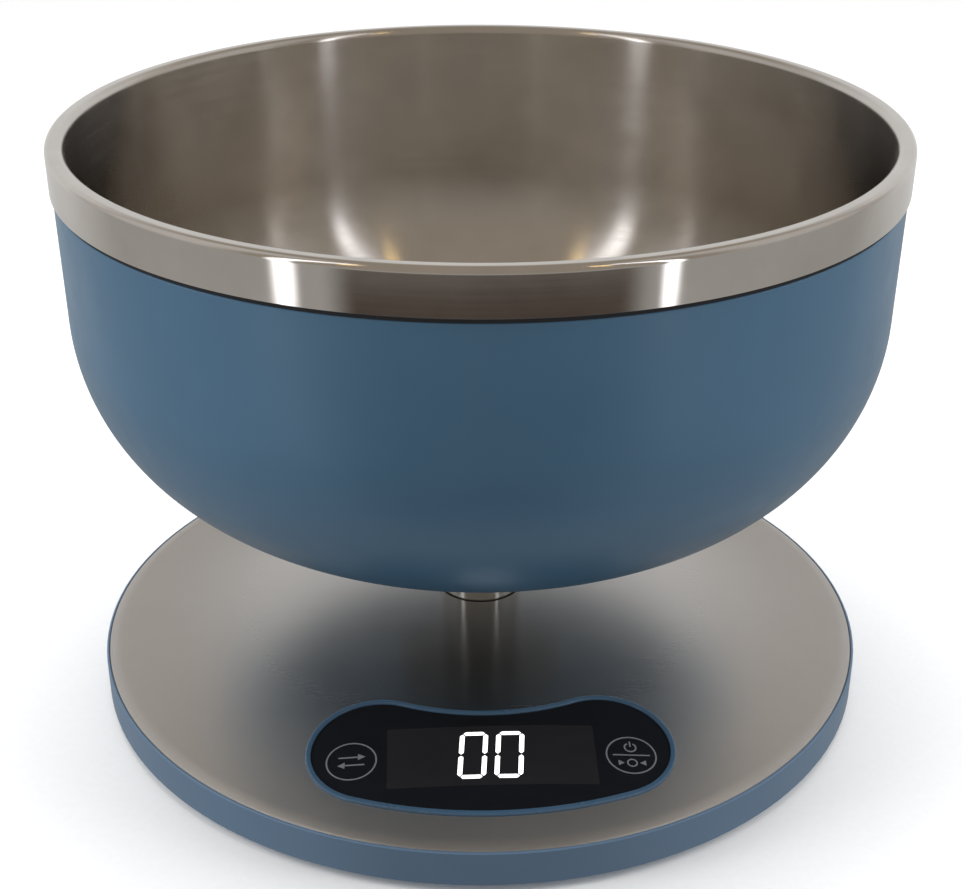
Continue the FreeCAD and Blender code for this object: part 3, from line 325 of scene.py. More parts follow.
def blend(tree, factor, first, second):
    """Mix two colours or colour sockets: factor 0 gives the first, 1 the second."""
    made = tree.nodes.new("ShaderNodeMix")
    made.data_type = "RGBA"
    colours = [socket for socket in made.inputs if socket.type == "RGBA"]
    for socket, value in zip(colours, (first, second)):
        if isinstance(value, tuple):
            socket.default_value = (*value, 1.0)
        else:
            tree.links.new(value, socket)
    tree.links.new(factor, made.inputs["Factor"])
    return [socket for socket in made.outputs if socket.type == "RGBA"][0]


class Paint:
    """A node material with one Principled shader."""

    def __init__(self, name, colour, roughness, metallic=0.0):
        self.material = bpy.data.materials.new(name)
        self.material.use_nodes = True
        self.tree = self.material.node_tree
        self.shader = self.tree.nodes["Principled BSDF"]
        self.shader.inputs["Base Color"].default_value = (*colour, 1.0)
        self.shader.inputs["Roughness"].default_value = roughness
        self.shader.inputs["Metallic"].default_value = metallic

    def node(self, kind, **settings):
        """New node with its settings."""
        made = self.tree.nodes.new(kind)
        for key, value in settings.items():
            setattr(made, key, value)
        return made

    def link(self, source, target):
        self.tree.links.new(source, target)

    def coordinates(self, stretch):
        """Object coordinates in metres, scaled by stretch on each axis."""
        place = self.node("ShaderNodeTexCoord")
        mapping = self.node("ShaderNodeMapping")
        mapping.inputs["Scale"].default_value = stretch
        self.link(place.outputs["Object"], mapping.inputs["Vector"])
        return mapping.outputs["Vector"]

    def polar(self, around, across):
        """Coordinates that run round Z: angle times around, radius and height times across."""
        place = self.node("ShaderNodeTexCoord")
        split = self.node("ShaderNodeSeparateXYZ")
        self.link(place.outputs["Object"], split.inputs[0])
        angle = self.node("ShaderNodeMath", operation="ARCTAN2")
        self.link(split.outputs["Y"], angle.inputs[0])
        self.link(split.outputs["X"], angle.inputs[1])
        turn = self.node("ShaderNodeMath", operation="MULTIPLY")
        turn.inputs[1].default_value = around
        self.link(angle.outputs[0], turn.inputs[0])
        flat = self.node("ShaderNodeCombineXYZ")
        self.link(split.outputs["X"], flat.inputs["X"])
        self.link(split.outputs["Y"], flat.inputs["Y"])
        reach = self.node("ShaderNodeVectorMath", operation="LENGTH")
        self.link(flat.outputs[0], reach.inputs[0])
        joined = self.node("ShaderNodeCombineXYZ")
        self.link(turn.outputs[0], joined.inputs["X"])
        for source, target in ((reach.outputs["Value"], "Y"), (split.outputs["Z"], "Z")):
            scaled = self.node("ShaderNodeMath", operation="MULTIPLY")
            scaled.inputs[1].default_value = across
            self.link(source, scaled.inputs[0])
            self.link(scaled.outputs[0], joined.inputs[target])
        return joined.outputs[0]

    def reach(self):
        """Distance from the Z axis in metres."""
        split = self.node("ShaderNodeSeparateXYZ")
        self.link(self.polar(0.0, 1.0), split.inputs[0])
        return split.outputs["Y"]

    def noise(self, vector, scale, detail=3.0, roughness=0.5):
        made = self.node("ShaderNodeTexNoise")
        made.inputs["Scale"].default_value = scale
        made.inputs["Detail"].default_value = detail
        made.inputs["Roughness"].default_value = roughness
        self.link(vector, made.inputs["Vector"])
        return made.outputs[0]

    def spread(self, value, low, high, from_low=0.3, from_high=0.7):
        """Map a noise value onto a range."""
        made = self.node("ShaderNodeMapRange")
        made.inputs["From Min"].default_value = from_low
        made.inputs["From Max"].default_value = from_high
        made.inputs["To Min"].default_value = low
        made.inputs["To Max"].default_value = high
        self.link(value, made.inputs["Value"])
        return made.outputs[0]

    def add(self, first, second):
        made = self.node("ShaderNodeMath", operation="ADD")
        self.link(first, made.inputs[0])
        self.link(second, made.inputs[1])
        return made.outputs[0]

    def tint(self, value, low, high):
        """Base colour between two colours by a 0 to 1 value."""
        mixed = blend(self.tree, value, low, high)
        self.link(mixed, self.shader.inputs["Base Color"])

    def bump(self, height, strength, distance):
        """Stack a bump on the shader's normal."""
        made = self.node("ShaderNodeBump")
        made.inputs["Strength"].default_value = strength
        made.inputs["Distance"].default_value = distance
        self.link(height, made.inputs["Height"])
        current = self.shader.inputs["Normal"].links
        if current:
            self.link(current[0].from_socket, made.inputs["Normal"])
        self.link(made.outputs["Normal"], self.shader.inputs["Normal"])

    def rough(self, value):
        self.link(value, self.shader.inputs["Roughness"])


def shade(colour, factor):
    """A colour made lighter or darker."""
    return tuple(min(1.0, channel * factor) for channel in colour)


def moulded_plastic(name, colour, roughness, grain=0.25, specular=0.5):
    """Satin moulded plastic: fine spark grain, faint flow shading, slight wear in gloss."""
    paint = Paint(name, colour, roughness)
    place = paint.coordinates((1.0, 1.0, 1.0))
    grain_noise = paint.noise(place, 2600.0, 2.0)
    paint.bump(grain_noise, grain, 0.02 * MM)
    flow = paint.noise(place, 22.0, 4.0)
    paint.tint(paint.spread(flow, 0.0, 1.0), shade(colour, 0.95), shade(colour, 1.05))
    smudge = paint.noise(place, 60.0, 5.0, 0.6)
    paint.rough(paint.spread(smudge, roughness - 0.04, roughness + 0.05))
    paint.shader.inputs["Specular IOR Level"].default_value = specular
    return paint.material


def polished_steel(name, colour, roughness, anisotropic=0.5, wave=0.15, outer_gloss=1.0):
    """Spun and polished steel: fine lines round the axis, stains, a slight waviness.

    Beyond the bowl's inner wall the roughness is multiplied by outer_gloss.
    """
    paint = Paint(name, colour, roughness, 1.0)
    lines = paint.noise(paint.polar(1.5, 2600.0), 1.0, 3.0)
    stains = paint.noise(paint.coordinates((1.0, 1.0, 1.0)), 26.0, 5.0, 0.62)
    satin = paint.add(
        paint.spread(stains, roughness * 0.85, roughness * 1.15),
        paint.spread(lines, -0.02, 0.02))
    inside = paint.spread(paint.reach(), 1.0, outer_gloss, LINER_RADIUS, LINER_RADIUS + 1.5 * MM)
    product = paint.node("ShaderNodeMath", operation="MULTIPLY")
    paint.link(satin, product.inputs[0])
    paint.link(inside, product.inputs[1])
    paint.rough(product.outputs[0])
    paint.tint(paint.spread(stains, 0.0, 1.0), shade(colour, 0.9), shade(colour, 1.06))
    ripple = paint.noise(paint.polar(3.0, 45.0), 1.0, 2.0)
    paint.bump(ripple, wave, 0.4 * MM)
    paint.bump(lines, 0.05, 0.01 * MM)
    paint.shader.inputs["Anisotropic"].default_value = anisotropic
    paint.shader.inputs["Anisotropic Rotation"].default_value = 0.25
    tangent = paint.node("ShaderNodeTangent", direction_type="RADIAL", axis="Z")
    paint.link(tangent.outputs[0], paint.shader.inputs["Tangent"])
    return paint.material


def brushed_steel(name, colour, roughness):
    """Steel brushed in straight lines along X, with handling marks and a duller border."""
    paint = Paint(name, colour, roughness, 1.0)
    lines = paint.noise(paint.coordinates((14.0, 2400.0, 60.0)), 1.0, 4.0, 0.65)
    marks = paint.noise(paint.coordinates((1.0, 1.0, 1.0)), 24.0, 5.0, 0.6)
    satin = paint.add(
        paint.spread(lines, roughness - 0.02, roughness + 0.02),
        paint.spread(marks, -0.02, 0.02))
    border = paint.spread(paint.reach(), 0.0, 0.22, 0.5 * PLATE_RADIUS, PLATE_RADIUS)
    border.node.interpolation_type = "SMOOTHSTEP"
    paint.rough(paint.add(satin, border))
    both = paint.add(paint.spread(lines, -0.15, 0.15), paint.spread(marks, 0.2, 0.8))
    paint.tint(both, shade(colour, 0.93), shade(colour, 1.05))
    paint.bump(lines, 0.015, 0.02 * MM)
    paint.shader.inputs["Anisotropic"].default_value = 0.85
    tangent = paint.node("ShaderNodeTangent", direction_type="UV_MAP", uv_map="brush")
    paint.link(tangent.outputs[0], paint.shader.inputs["Tangent"])
    return paint.material


def plain_metal(name, colour, roughness):
    """Turned or plated small metal part."""
    paint = Paint(name, colour, roughness, 1.0)
    lines = paint.noise(paint.coordinates((900.0, 900.0, 2500.0)), 1.0, 3.0)
    paint.rough(paint.spread(lines, roughness - 0.06, roughness + 0.08))
    paint.tint(paint.spread(lines, 0.0, 1.0), shade(colour, 0.9), shade(colour, 1.05))
    paint.bump(lines, 0.1, 0.01 * MM)
    return paint.material


def rubber(name, colour, roughness=0.75):
    """Matt rubber with a fine pebbled skin."""
    paint = Paint(name, colour, roughness)
    place = paint.coordinates((1.0, 1.0, 1.0))
    pebble = paint.noise(place, 1800.0, 2.0)
    paint.bump(pebble, 0.35, 0.03 * MM)
    paint.tint(paint.spread(paint.noise(place, 120.0), 0.0, 1.0), shade(colour, 0.85), shade(colour, 1.15))
    return paint.material


def glossy_lens(name, colour, roughness):
    """Smoked acrylic with a hard coat and faint wipe marks."""
    paint = Paint(name, colour, roughness)
    place = paint.coordinates((90.0, 300.0, 90.0))
    wipe = paint.noise(place, 1.0, 4.0, 0.6)
    paint.rough(paint.spread(wipe, roughness - 0.02, roughness + 0.05))
    paint.tint(paint.spread(wipe, 0.0, 1.0), shade(colour, 0.92), shade(colour, 1.1))
    return paint.material


def printed(name, colour):
    """Screen-printed ink."""
    paint = Paint(name, colour, 0.5)
    speck = paint.noise(paint.coordinates((1.0, 1.0, 1.0)), 3500.0, 2.0)
    paint.tint(paint.spread(speck, 0.0, 1.0), shade(colour, 0.88), shade(colour, 1.1))
    return paint.material


def glowing(name, colour, strength):
    """Lit display bar."""
    paint = Paint(name, colour, 0.4)
    even = paint.noise(paint.coordinates((1.0, 1.0, 1.0)), 400.0, 2.0)
    paint.tint(paint.spread(even, 0.0, 1.0), shade(colour, 0.97), colour)
    paint.shader.inputs["Emission Color"].default_value = (*colour, 1.0)
    paint.shader.inputs["Emission Strength"].default_value = strength
    return paint.material


# linear colours
SHELL_BLUE = (0.052, 0.124, 0.204)
RING_BLUE = (0.090, 0.150, 0.228)
TRIM_BLUE = (0.044, 0.090, 0.146)
WARM_STEEL = (0.62, 0.59, 0.55)
PLATE_STEEL = (0.63, 0.615, 0.60)
TUBE_STEEL = (0.58, 0.57, 0.55)

MATERIALS = {
    "housing_blue": moulded_plastic("housing_blue", RING_BLUE, 0.42),
    "shell_blue": moulded_plastic("shell_blue", SHELL_BLUE, 0.36),
    "trim_blue": moulded_plastic("trim_blue", TRIM_BLUE, 0.25, 0.1),
    "brushed_plate": brushed_steel("brushed_plate", PLATE_STEEL, 0.24),
    "polished_steel": polished_steel("polished_steel", WARM_STEEL, 0.20, 1.0, 0.03, 0.5),
    "tube_steel": polished_steel("tube_steel", TUBE_STEEL, 0.2, 0.8, 0.0),
    "gasket_dark": rubber("gasket_dark", (0.012, 0.013, 0.016)),
    "foot_rubber": rubber("foot_rubber", (0.02, 0.02, 0.022)),
    "pad_silicone": rubber("pad_silicone", (0.10, 0.105, 0.11), 0.55),
    "lens_black": glossy_lens("lens_black", (0.008, 0.008, 0.009), 0.10),
    "window_grey": glossy_lens("window_grey", (0.017, 0.015, 0.016), 0.22),
    "digit_white": glowing("digit_white", (1.0, 1.0, 1.0), 1.2),
    "print_grey": printed("print_grey", (0.16, 0.165, 0.18)),
    "board_green": moulded_plastic("board_green", (0.01, 0.07, 0.025), 0.3),
    "chip_black": moulded_plastic("chip_black", (0.01, 0.01, 0.011), 0.5),
    "module_white": moulded_plastic("module_white", (0.7, 0.7, 0.68), 0.5),
    "foam_grey": rubber("foam_grey", (0.05, 0.05, 0.052)),
    "cell_aluminium": plain_metal("cell_aluminium", (0.75, 0.76, 0.77), 0.35),
    "gauge_sealant": rubber("gauge_sealant", (0.72, 0.71, 0.66), 0.6),
    "cast_hub": plain_metal("cast_hub", (0.45, 0.45, 0.46), 0.5),
    "screw_steel": plain_metal("screw_steel", (0.52, 0.52, 0.53), 0.3),
    "support_plastic": moulded_plastic("support_plastic", (0.015, 0.017, 0.02), 0.5),
    "battery_jacket": moulded_plastic("battery_jacket", (0.03, 0.045, 0.06), 0.25, 0.05),
    "contact_nickel": plain_metal("contact_nickel", (0.62, 0.60, 0.55), 0.25),
}


def finish_piece(item, body, slot, nodes=()):
    """Give a piece its material and its place in the model."""
    item.data.materials.clear()
    item.data.materials.append(MATERIALS[slot])
    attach(item, body)
    if nodes:
        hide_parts(*nodes)
    return item


# ------------------------------------------------------------------ pieces


def make_liner():
    """Steel bowl: inner wall, folded rim, band, and the hidden outer face."""
    wall = LINER_WALL
    outer = LINER_RADIUS
    inner = outer - wall
    flat = outer - LINER_CORNER
    centre = LINER_BOTTOM + LINER_CORNER
    outer_round = 1.5 * MM
    inner_round = 2.0 * MM
    band = RIM_RADIUS
    profile = [(0.0, LINER_BOTTOM)]
    profile += arc(flat, centre, LINER_CORNER, -90, 0, 48)
    profile += arc(outer + inner_round - wall, RIM_TOP - inner_round, inner_round - wall, 180, 90, 6)
    profile += arc(band - outer_round, RIM_TOP - outer_round, outer_round - wall, 90, 0, 8)
    profile += [(band - wall, BAND_BOTTOM + 0.15 * MM), (band - wall + 0.15 * MM, BAND_BOTTOM)]
    profile += [(band - 0.3 * MM, BAND_BOTTOM), (band - 0.05 * MM, BAND_BOTTOM + 0.2 * MM)]
    profile += arc(band - outer_round, RIM_TOP - outer_round, outer_round, 0, 90, 12)
    profile += arc(inner + inner_round, RIM_TOP - inner_round, inner_round, 90, 180, 10)
    profile += arc(flat, centre, LINER_CORNER - wall, 0, -90, 64)
    profile += [(0.0, LINER_BOTTOM + wall)]
    finish_piece(lathe("liner", profile), "bowl", "polished_steel", ["bowl_liner"])


def make_shell():
    """Blue outer shell with its tongue, stem hole and screw recesses."""
    lip = 0.3 * MM
    flat = SHELL_RADIUS - SHELL_CORNER - lip
    side = flat + SHELL_CORNER
    inner = side - SHELL_WALL
    centre = SHELL_BOTTOM + SHELL_CORNER
    tongue = inner + 2.0 * MM
    hole = 12.6 * MM
    edge = 0.5 * MM
    profile = [(hole, SHELL_BOTTOM)]
    profile += arc(flat, centre, SHELL_CORNER, -90, 0, 72)
    profile += arc(SHELL_RADIUS - edge, SHELL_TOP - edge, edge, 0, 90, 6)
    profile += [(tongue, SHELL_TOP), (tongue, shell_high.z), (inner, shell_high.z)]
    profile += arc(flat, centre, SHELL_CORNER - SHELL_WALL, 0, -90, 48)
    profile += [(hole, SHELL_BOTTOM + SHELL_WALL)]
    shell = lathe("shell", profile)
    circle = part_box("socket_screws")[1].y - SOCKET_SCREW_HEAD
    cuts = [("recess", 3.2 * MM, 40, 1.2 * MM), ("bore", 1.7 * MM, 32, 4 * MM)]
    for angle in (90.0, 210.0, 330.0):
        turn = math.radians(angle)
        x, y = circle * math.cos(turn), circle * math.sin(turn)
        for tool, radius, steps, depth in cuts:
            outline = circle_points(x, y, radius, steps)
            cutter = flat_prism(tool, outline, SHELL_BOTTOM - MM, SHELL_BOTTOM + depth)
            boolean(shell, cutter, "DIFFERENCE")
    finish_piece(shell, "bowl", "shell_blue", ["bowl_shell"])


def make_plate():
    """Domed plate with its rolled border, stem hole and pod cut-out."""
    slope = PLATE_BORDER / DOME_RADIUS
    bend_x = PLATE_BORDER - BORDER_BEND * slope
    bend_z = dome(PLATE_BORDER, 0.0) - BORDER_BEND * math.sqrt(1 - slope ** 2)
    shoulder_angle = math.degrees(math.acos((PLATE_SHOULDER - bend_x) / BORDER_BEND))
    border_angle = math.degrees(math.acos(slope))
    shoulder_z = bend_z + BORDER_BEND * math.sin(math.radians(shoulder_angle))
    corner = 0.3 * MM
    hole_edge = 0.25 * MM
    dome_z = DOME_APEX - DOME_RADIUS
    start = math.degrees(math.acos((STEM_HOLE + hole_edge) / DOME_RADIUS))
    profile = []
    profile += arc(0.0, dome_z, DOME_RADIUS, start, border_angle, 60)
    profile += arc(bend_x, bend_z, BORDER_BEND, border_angle, shoulder_angle, 10)[1:]
    profile += [
        (PLATE_RADIUS - 0.1 * MM, shoulder_z - 0.12 * MM),
        (PLATE_RADIUS, shoulder_z - corner),
        (PLATE_RADIUS, PLATE_LEDGE),
        (PLATE_RADIUS - PLATE_WALL, PLATE_LEDGE),
    ]
    inner_bend = BORDER_BEND - PLATE_WALL
    inner_end = math.degrees(math.acos((PLATE_RADIUS - PLATE_WALL - bend_x) / inner_bend))
    profile += arc(bend_x, bend_z, inner_bend, inner_end, border_angle, 8)
    profile += arc(0.0, dome_z, DOME_RADIUS - PLATE_WALL, border_angle, start, 30)[1:]
    profile += [
        (STEM_HOLE, dome_z + math.sqrt((DOME_RADIUS - PLATE_WALL) ** 2 - STEM_HOLE ** 2)),
        (STEM_HOLE, dome_z + math.sqrt((DOME_RADIUS - hole_edge) ** 2 - STEM_HOLE ** 2)),
    ]
    plate = lathe("plate", profile)
    opening = [tuple(point) for point, _ in pod_outline(POD_OPENING, 0.8 * MM)]
    boolean(plate, flat_prism("opening", opening, 5 * MM, CUT_TOP), "DIFFERENCE")
    layer = plate.data.uv_layers.new(name="brush")
    for loop in plate.data.loops:
        spot = plate.data.vertices[loop.vertex_index].co
        layer.data[loop.index].uv = (spot.y * BRUSH_SCALE, spot.x * BRUSH_SCALE)
    finish_piece(plate, "base", "brushed_plate", ["top_plate"])


def make_tube():
    """Pedestal tube with softened ends."""
    wall = 1.25 * MM
    edge = 0.2 * MM
    low, high, radius = tube_low.z, tube_high.z, TUBE_RADIUS
    profile = [
        (radius - wall, low), (radius - edge, low), (radius, low + edge),
        (radius, high - edge), (radius - edge, high), (radius - wall, high)]
    finish_piece(lathe("tube", profile, 160), "platform", "tube_steel", ["stem_tube"])


def make_trim():
    """Rounded bead round the lens, with its neck and ledge below."""
    rise = TRIM_RISE
    section = [(0.05 * MM, 0.02 * MM), (0.0, 0.25 * MM)]
    outer, inner = 0.5 * MM, 0.35 * MM
    section += arc(outer, rise - outer, outer, 180, 90, 6)[1:]
    section += arc(TRIM_WIDTH - inner, rise - inner, inner, 90, 0, 5)
    ledge, ledge_top, ledge_bottom = TRIM_WIDTH + 3.0 * MM, -1.25 * MM, -3.2 * MM
    neck = 0.7 * MM
    section += [
        (TRIM_WIDTH, ledge_top), (ledge, ledge_top),
        (ledge, ledge_bottom), (neck, ledge_bottom), (neck, 0.02 * MM)]
    trim = pod_band("trim", section)
    finish_piece(trim, "base", "trim_blue")
    bosses = trim_bosses()
    finish_piece(bosses, "base", "trim_blue", ["display_trim"])


def trim_bosses():
    """Four screw posts under the trim, round the board's screws."""
    low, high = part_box("board_screws")
    head, bore, post, steps = 2.2 * MM, 1.0 * MM, 2.6 * MM, 32
    x_reach = high.x - head
    y_middle = (low.y + high.y) / 2
    y_reach = (high.y - low.y) / 2 - head
    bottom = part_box("circuit_board")[1].z
    build = bmesh.new()
    for side in (-1, 1):
        for end in (-1, 1):
            x, y = x_reach * side, y_middle + y_reach * end
            top = dome(x, y) - 1.2 * MM
            rings = []
            for radius, height in ((bore, bottom), (post, bottom), (post, top), (bore, top)):
                spots = circle_points(x, y, radius, steps)
                rings.append([build.verts.new((*spot, height)) for spot in spots])
            for index, ring in enumerate(rings):
                following = rings[(index + 1) % len(rings)]
                for step in range(steps):
                    after = (step + 1) % steps
                    build.faces.new([ring[step], ring[after], following[after], following[step]])
    return finish_mesh("trim_bosses", built_mesh("trim_bosses", build))


def make_lens():
    """Dark lens that follows the dome inside the trim."""
    outline = pod_outline(TRIM_WIDTH + LENS_GAP, 0.6 * MM)
    xs = [point.x for point, _ in outline]
    ys = [point.y for point, _ in outline]
    margin = 2 * MM
    lens = dome_slab(
        "lens", (min(xs) - margin, min(ys) - margin), (max(xs) + margin, max(ys) + margin),
        1.5 * MM, LENS_RISE - LENS_DEPTH, LENS_RISE)
    edge = flat_prism("edge", [tuple(point) for point, _ in outline], 2 * MM, CUT_TOP)
    boolean(lens, edge, "INTERSECT")
    finish_piece(lens, "base", "lens_black", ["display_lens"])
    window = dome_slab(
        "window", (window_low.x, window_low.y), (window_high.x, window_high.y),
        1.5 * MM, LENS_RISE, LENS_RISE + 0.03 * MM)
    finish_piece(window, "base", "window_grey", ["display_window"])


def bar_outline(start, end, width, shrink):
    """Six-cornered bar with pointed ends between two points."""
    start, end = Vector(start), Vector(end)
    along = (end - start).normalized()
    side = Vector((-along.y, along.x)) * (width / 2)
    start, end = start + along * shrink, end - along * shrink
    half = along * (width / 2)
    return [start, start + half - side, end - half - side, end, end - half + side, start + half + side]


def make_digits():
    """Two slanted zeros of six lit bars each, over their dark surrounds."""
    width = DIGIT_WIDTH - BAR_WIDTH
    half_x, half_y = width / 2, (DIGIT_HEIGHT - BAR_WIDTH) / 2
    corners = [(-half_x, half_y), (half_x, half_y), (half_x, 0.0), (half_x, -half_y),
               (-half_x, -half_y), (-half_x, 0.0)]
    gap = 0.22 * MM
    for name, grow, rise, slot, nodes in (
            ("digit_surround", 0.5 * MM, 0.03 * MM, "lens_black", ()),
            ("digits", 0.0, 0.05 * MM, "digit_white", ("display_digits",))):
        outlines = []
        for column in (-1, 0):
            middle = DIGIT_X + (column + 0.5) * DIGIT_PITCH
            for index, corner in enumerate(corners):
                following = corners[(index + 1) % len(corners)]
                bar = bar_outline(corner, following, BAR_WIDTH + grow, gap - grow / 2)
                outlines.append([(middle + p.x + DIGIT_SLANT * p.y, WINDOW_MIDDLE + p.y) for p in bar])
        item = plates(name, outlines, LENS_RISE + rise, PRINT_DEPTH)
        finish_piece(item, "base", slot, nodes)


def bar_corners(x0, y0, x1, y1):
    """Corners of an upright rectangle."""
    return [(x0, y0), (x1, y0), (x1, y1), (x0, y1)]


def make_key_marks():
    """Rings and plain signs of the two touch keys: two arrows, and power over a zero."""
    line = KEY_LINE
    outlines = ring_strips(-KEY_X, KEY_Y, KEY_RADIUS, line) + ring_strips(KEY_X, KEY_Y, KEY_RADIUS, line)
    arrow_gap, shaft, tail, head, tip, barb = (size * MM for size in (1.3, 0.22, 3.2, 1.6, 3.4, 1.05))
    for side in (-1, 1):
        x, y = -KEY_X, KEY_Y + arrow_gap * side
        outlines.append(bar_corners(x - tail * side, y - shaft, x + head * side, y + shaft))
        outlines.append([(x + head * side, y - barb), (x + tip * side, y), (x + head * side, y + barb)])
    divider = 4.6 * MM
    outlines.append(bar_corners(KEY_X - divider, KEY_Y - line / 2, KEY_X + divider, KEY_Y + line / 2))
    sign_gap = 2.6 * MM
    power_y = KEY_Y + sign_gap
    outlines += ring_strips(KEY_X, power_y, 1.6 * MM, line, 120.0, 420.0, 40)
    outlines.append(bar_corners(
        KEY_X - line / 2, power_y + 0.2 * MM, KEY_X + line / 2, power_y + 2.0 * MM))
    zero_y = KEY_Y - sign_gap
    outlines += ring_strips(KEY_X, zero_y, 1.35 * MM, line, steps=40)
    pointer, pointer_length, pointer_half = 1.9 * MM, 1.5 * MM, 0.9 * MM
    for side in (-1, 1):
        tip = KEY_X + pointer * side
        end = tip + pointer_length * side
        outlines.append([(tip, zero_y), (end, zero_y + pointer_half), (end, zero_y - pointer_half)])
    marks = plates("key_signs", outlines, LENS_RISE + 0.005 * MM, PRINT_DEPTH)
    finish_piece(marks, "base", "print_grey", ["key_marks"])


def dress_cad_nodes():
    """Give every CAD piece that stays its material."""
    for entry in frame["record"]["subparts"]:
        item = frame["nodes"][entry["node"]]
        item.data.materials.clear()
        item.data.materials.append(MATERIALS[entry["material_slot"]])


# ------------------------------------------------------------------ stage


def area_light(name, place, aim, width, height, power, colour=(1.0, 1.0, 1.0)):
    """Rectangular softbox."""
    data = bpy.data.lights.new(name, "AREA")
    data.shape = "RECTANGLE"
    data.size = width
    data.size_y = height
    data.energy = power
    data.color = colour
    item = bpy.data.objects.new(name, data)
    item.location = place
    item.rotation_euler = (Vector(aim) - Vector(place)).to_track_quat("-Z", "Y").to_euler()
    bpy.context.scene.collection.objects.link(item)
    return item


# what glossy rays see between the patches of STUDIO, and what diffuse rays see,
# with the half width in degrees of each change at the horizon
BELOW_HORIZON = (0.43, 0.42, 0.405)
ABOVE_HORIZON = (0.36, 0.315, 0.265)
DIFFUSE_BELOW = (0.50, 0.50, 0.50)
DIFFUSE_ABOVE = (0.62, 0.62, 0.62)
HORIZON_GLOSSY = 3.0
HORIZON_DIFFUSE = 6.0

STUDIO = [
    # azimuth from the front, half width, lowest, highest, edge softness (degrees), radiance
    (180.0, 62.0, -20.0, 38.0, 16.0, (0.78, 0.775, 0.77)),
    (0.0, 38.0, -60.0, -14.0, 5.0, (0.075, 0.055, 0.045)),
    (-92.0, 24.0, 0.0, 66.0, 10.0, (0.62, 0.60, 0.58)),
    (88.0, 24.0, 0.0, 66.0, 10.0, (0.58, 0.56, 0.54)),
    (-52.0, 2.6, -24.0, 60.0, 2.0, (3.2, 3.2, 3.3)),
    (46.0, 1.8, -24.0, 58.0, 1.5, (3.4, 3.4, 3.6)),
    (-44.0, 0.9, 44.0, 56.0, 1.0, (6.0, 4.3, 1.9)),
    (36.0, 0.9, 44.0, 56.0, 1.0, (6.0, 4.3, 1.9)),
]


def make_world():
    """Studio by direction: one for glossy rays, an even one for diffuse rays."""
    world = bpy.data.worlds.new("studio")
    bpy.context.scene.world = world
    world.use_nodes = True
    tree = world.node_tree
    tree.nodes.clear()

    def maths(operation, *terms):
        made = tree.nodes.new("ShaderNodeMath")
        made.operation = operation
        for socket, value in zip(made.inputs, terms):
            if isinstance(value, float):
                socket.default_value = value
            else:
                tree.links.new(value, socket)
        return made.outputs[0]

    def ramp(value, low, high, at_low=0.0, at_high=1.0):
        made = tree.nodes.new("ShaderNodeMapRange")
        made.interpolation_type = "SMOOTHSTEP"
        ends = {"From Min": low, "From Max": high, "To Min": at_low, "To Max": at_high}
        for key, number in ends.items():
            made.inputs[key].default_value = number
        tree.links.new(value, made.inputs["Value"])
        return made.outputs[0]

    place = tree.nodes.new("ShaderNodeTexCoord")
    split = tree.nodes.new("ShaderNodeSeparateXYZ")
    tree.links.new(place.outputs["Generated"], split.inputs[0])
    to_degrees = 180.0 / math.pi
    front = maths("MULTIPLY", split.outputs["Y"], -1.0)
    azimuth = maths("MULTIPLY", maths("ARCTAN2", split.outputs["X"], front), to_degrees)
    elevation = maths("MULTIPLY", maths("ARCSINE", split.outputs["Z"]), to_degrees)
    colour = blend(tree, ramp(elevation, -HORIZON_GLOSSY, HORIZON_GLOSSY), BELOW_HORIZON, ABOVE_HORIZON)
    for middle, half, low, high, soft, radiance in STUDIO:
        away = maths("ABSOLUTE", maths("WRAP", maths("SUBTRACT", azimuth, middle), 180.0, -180.0))
        across = ramp(away, half - soft, half + soft, 1.0, 0.0)
        over = ramp(elevation, low - soft, low + soft)
        under = ramp(elevation, high - soft, high + soft, 1.0, 0.0)
        inside = maths("MULTIPLY", across, maths("MULTIPLY", over, under))
        colour = blend(tree, inside, colour, radiance)
    reflected = tree.nodes.new("ShaderNodeBackground")
    tree.links.new(colour, reflected.inputs["Color"])
    even = tree.nodes.new("ShaderNodeBackground")
    diffuse = blend(tree, ramp(elevation, -HORIZON_DIFFUSE, HORIZON_DIFFUSE), DIFFUSE_BELOW, DIFFUSE_ABOVE)
    tree.links.new(diffuse, even.inputs["Color"])
    path = tree.nodes.new("ShaderNodeLightPath")
    choose = tree.nodes.new("ShaderNodeMixShader")
    tree.links.new(path.outputs["Is Glossy Ray"], choose.inputs[0])
    tree.links.new(even.outputs[0], choose.inputs[1])
    tree.links.new(reflected.outputs[0], choose.inputs[2])
    output = tree.nodes.new("ShaderNodeOutputWorld")
    tree.links.new(choose.outputs[0], output.inputs["Surface"])


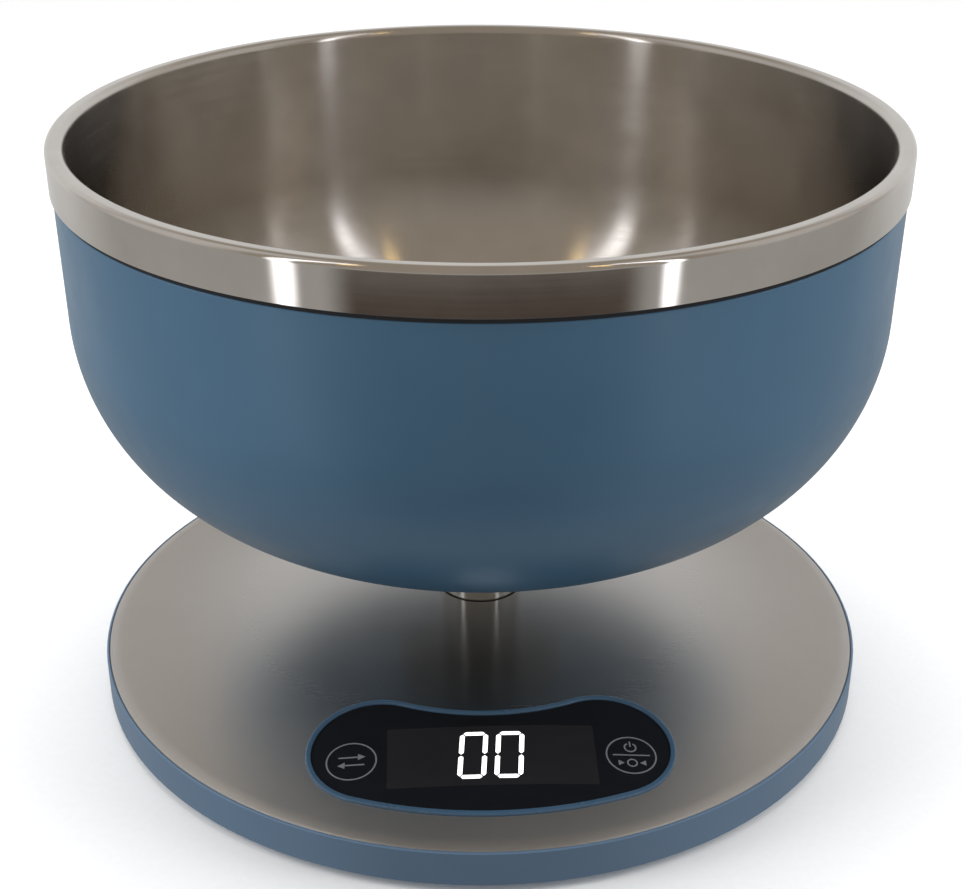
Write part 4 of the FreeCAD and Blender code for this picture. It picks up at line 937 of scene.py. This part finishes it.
def make_floor():
    """Wide pale floor, hidden from reflections and bounced light, which see the world instead."""
    bpy.ops.mesh.primitive_plane_add(size=8.0)
    floor = bpy.context.object
    floor.name = "floor"
    paint = Paint("floor_paper", (0.9, 0.9, 0.9), 0.7)
    fibre = paint.noise(paint.coordinates((1.0, 1.0, 1.0)), 500.0, 3.0)
    paint.tint(paint.spread(fibre, 0.0, 1.0), (0.89, 0.89, 0.89), (0.91, 0.91, 0.91))
    floor.data.materials.append(paint.material)
    floor.visible_glossy = False
    floor.visible_diffuse = False


# camera, fitted to the object's outline: distance and height in base radii, lens in mm,
# angles in degrees but the roll in radians
CAMERA_DISTANCE = 3.8114
CAMERA_HEIGHT = 2.5071
CAMERA_YAW = -2.2
CAMERA_DOWN = 27.75
CAMERA_ROLL = 0.001
CAMERA_LENS = 61.5
CAMERA_SHIFT = (0.0013, 0.0344)


def make_camera():
    """Camera at the photograph's height, distance and tilt."""
    distance = CAMERA_DISTANCE * BASE_RADIUS
    height = CAMERA_HEIGHT * BASE_RADIUS + base_low.z
    yaw = math.radians(CAMERA_YAW)
    data = bpy.data.cameras.new("camera")
    data.sensor_width = 36.0
    data.lens = CAMERA_LENS
    data.shift_x, data.shift_y = CAMERA_SHIFT
    item = bpy.data.objects.new("camera", data)
    tilt = math.radians(90.0 - CAMERA_DOWN)
    turn = Matrix.Rotation(yaw, 4, "Z") @ Matrix.Rotation(tilt, 4, "X")
    turn = turn @ Matrix.Rotation(CAMERA_ROLL, 4, "Z")
    spot = Matrix.Rotation(yaw, 4, "Z") @ Vector((0.0, -distance, 0.0))
    item.matrix_world = Matrix.Translation(Vector((spot.x, spot.y, height))) @ turn
    bpy.context.scene.collection.objects.link(item)
    bpy.context.scene.camera = item


def make_lights():
    """Soft boxes at the sides and overhead, unseen in the steel, which reflects the world."""
    for name, place, size, power in (
            ("side_left", (-0.95, -0.15, 0.55), (0.5, 0.9), 7.0),
            ("side_right", (0.95, -0.15, 0.55), (0.5, 0.9), 6.0),
            ("overhead", (0.0, 0.35, 1.25), (1.1, 0.9), 11.0)):
        item = area_light(name, place, (0, 0, 0.06), *size, power)
        item.visible_glossy = False


make_liner()
make_shell()
make_plate()
make_tube()
make_trim()
make_lens()
make_digits()
make_key_marks()
dress_cad_nodes()
make_world()
make_floor()
make_camera()
make_lights()
bpy.context.scene.view_settings.view_transform = "Standard"
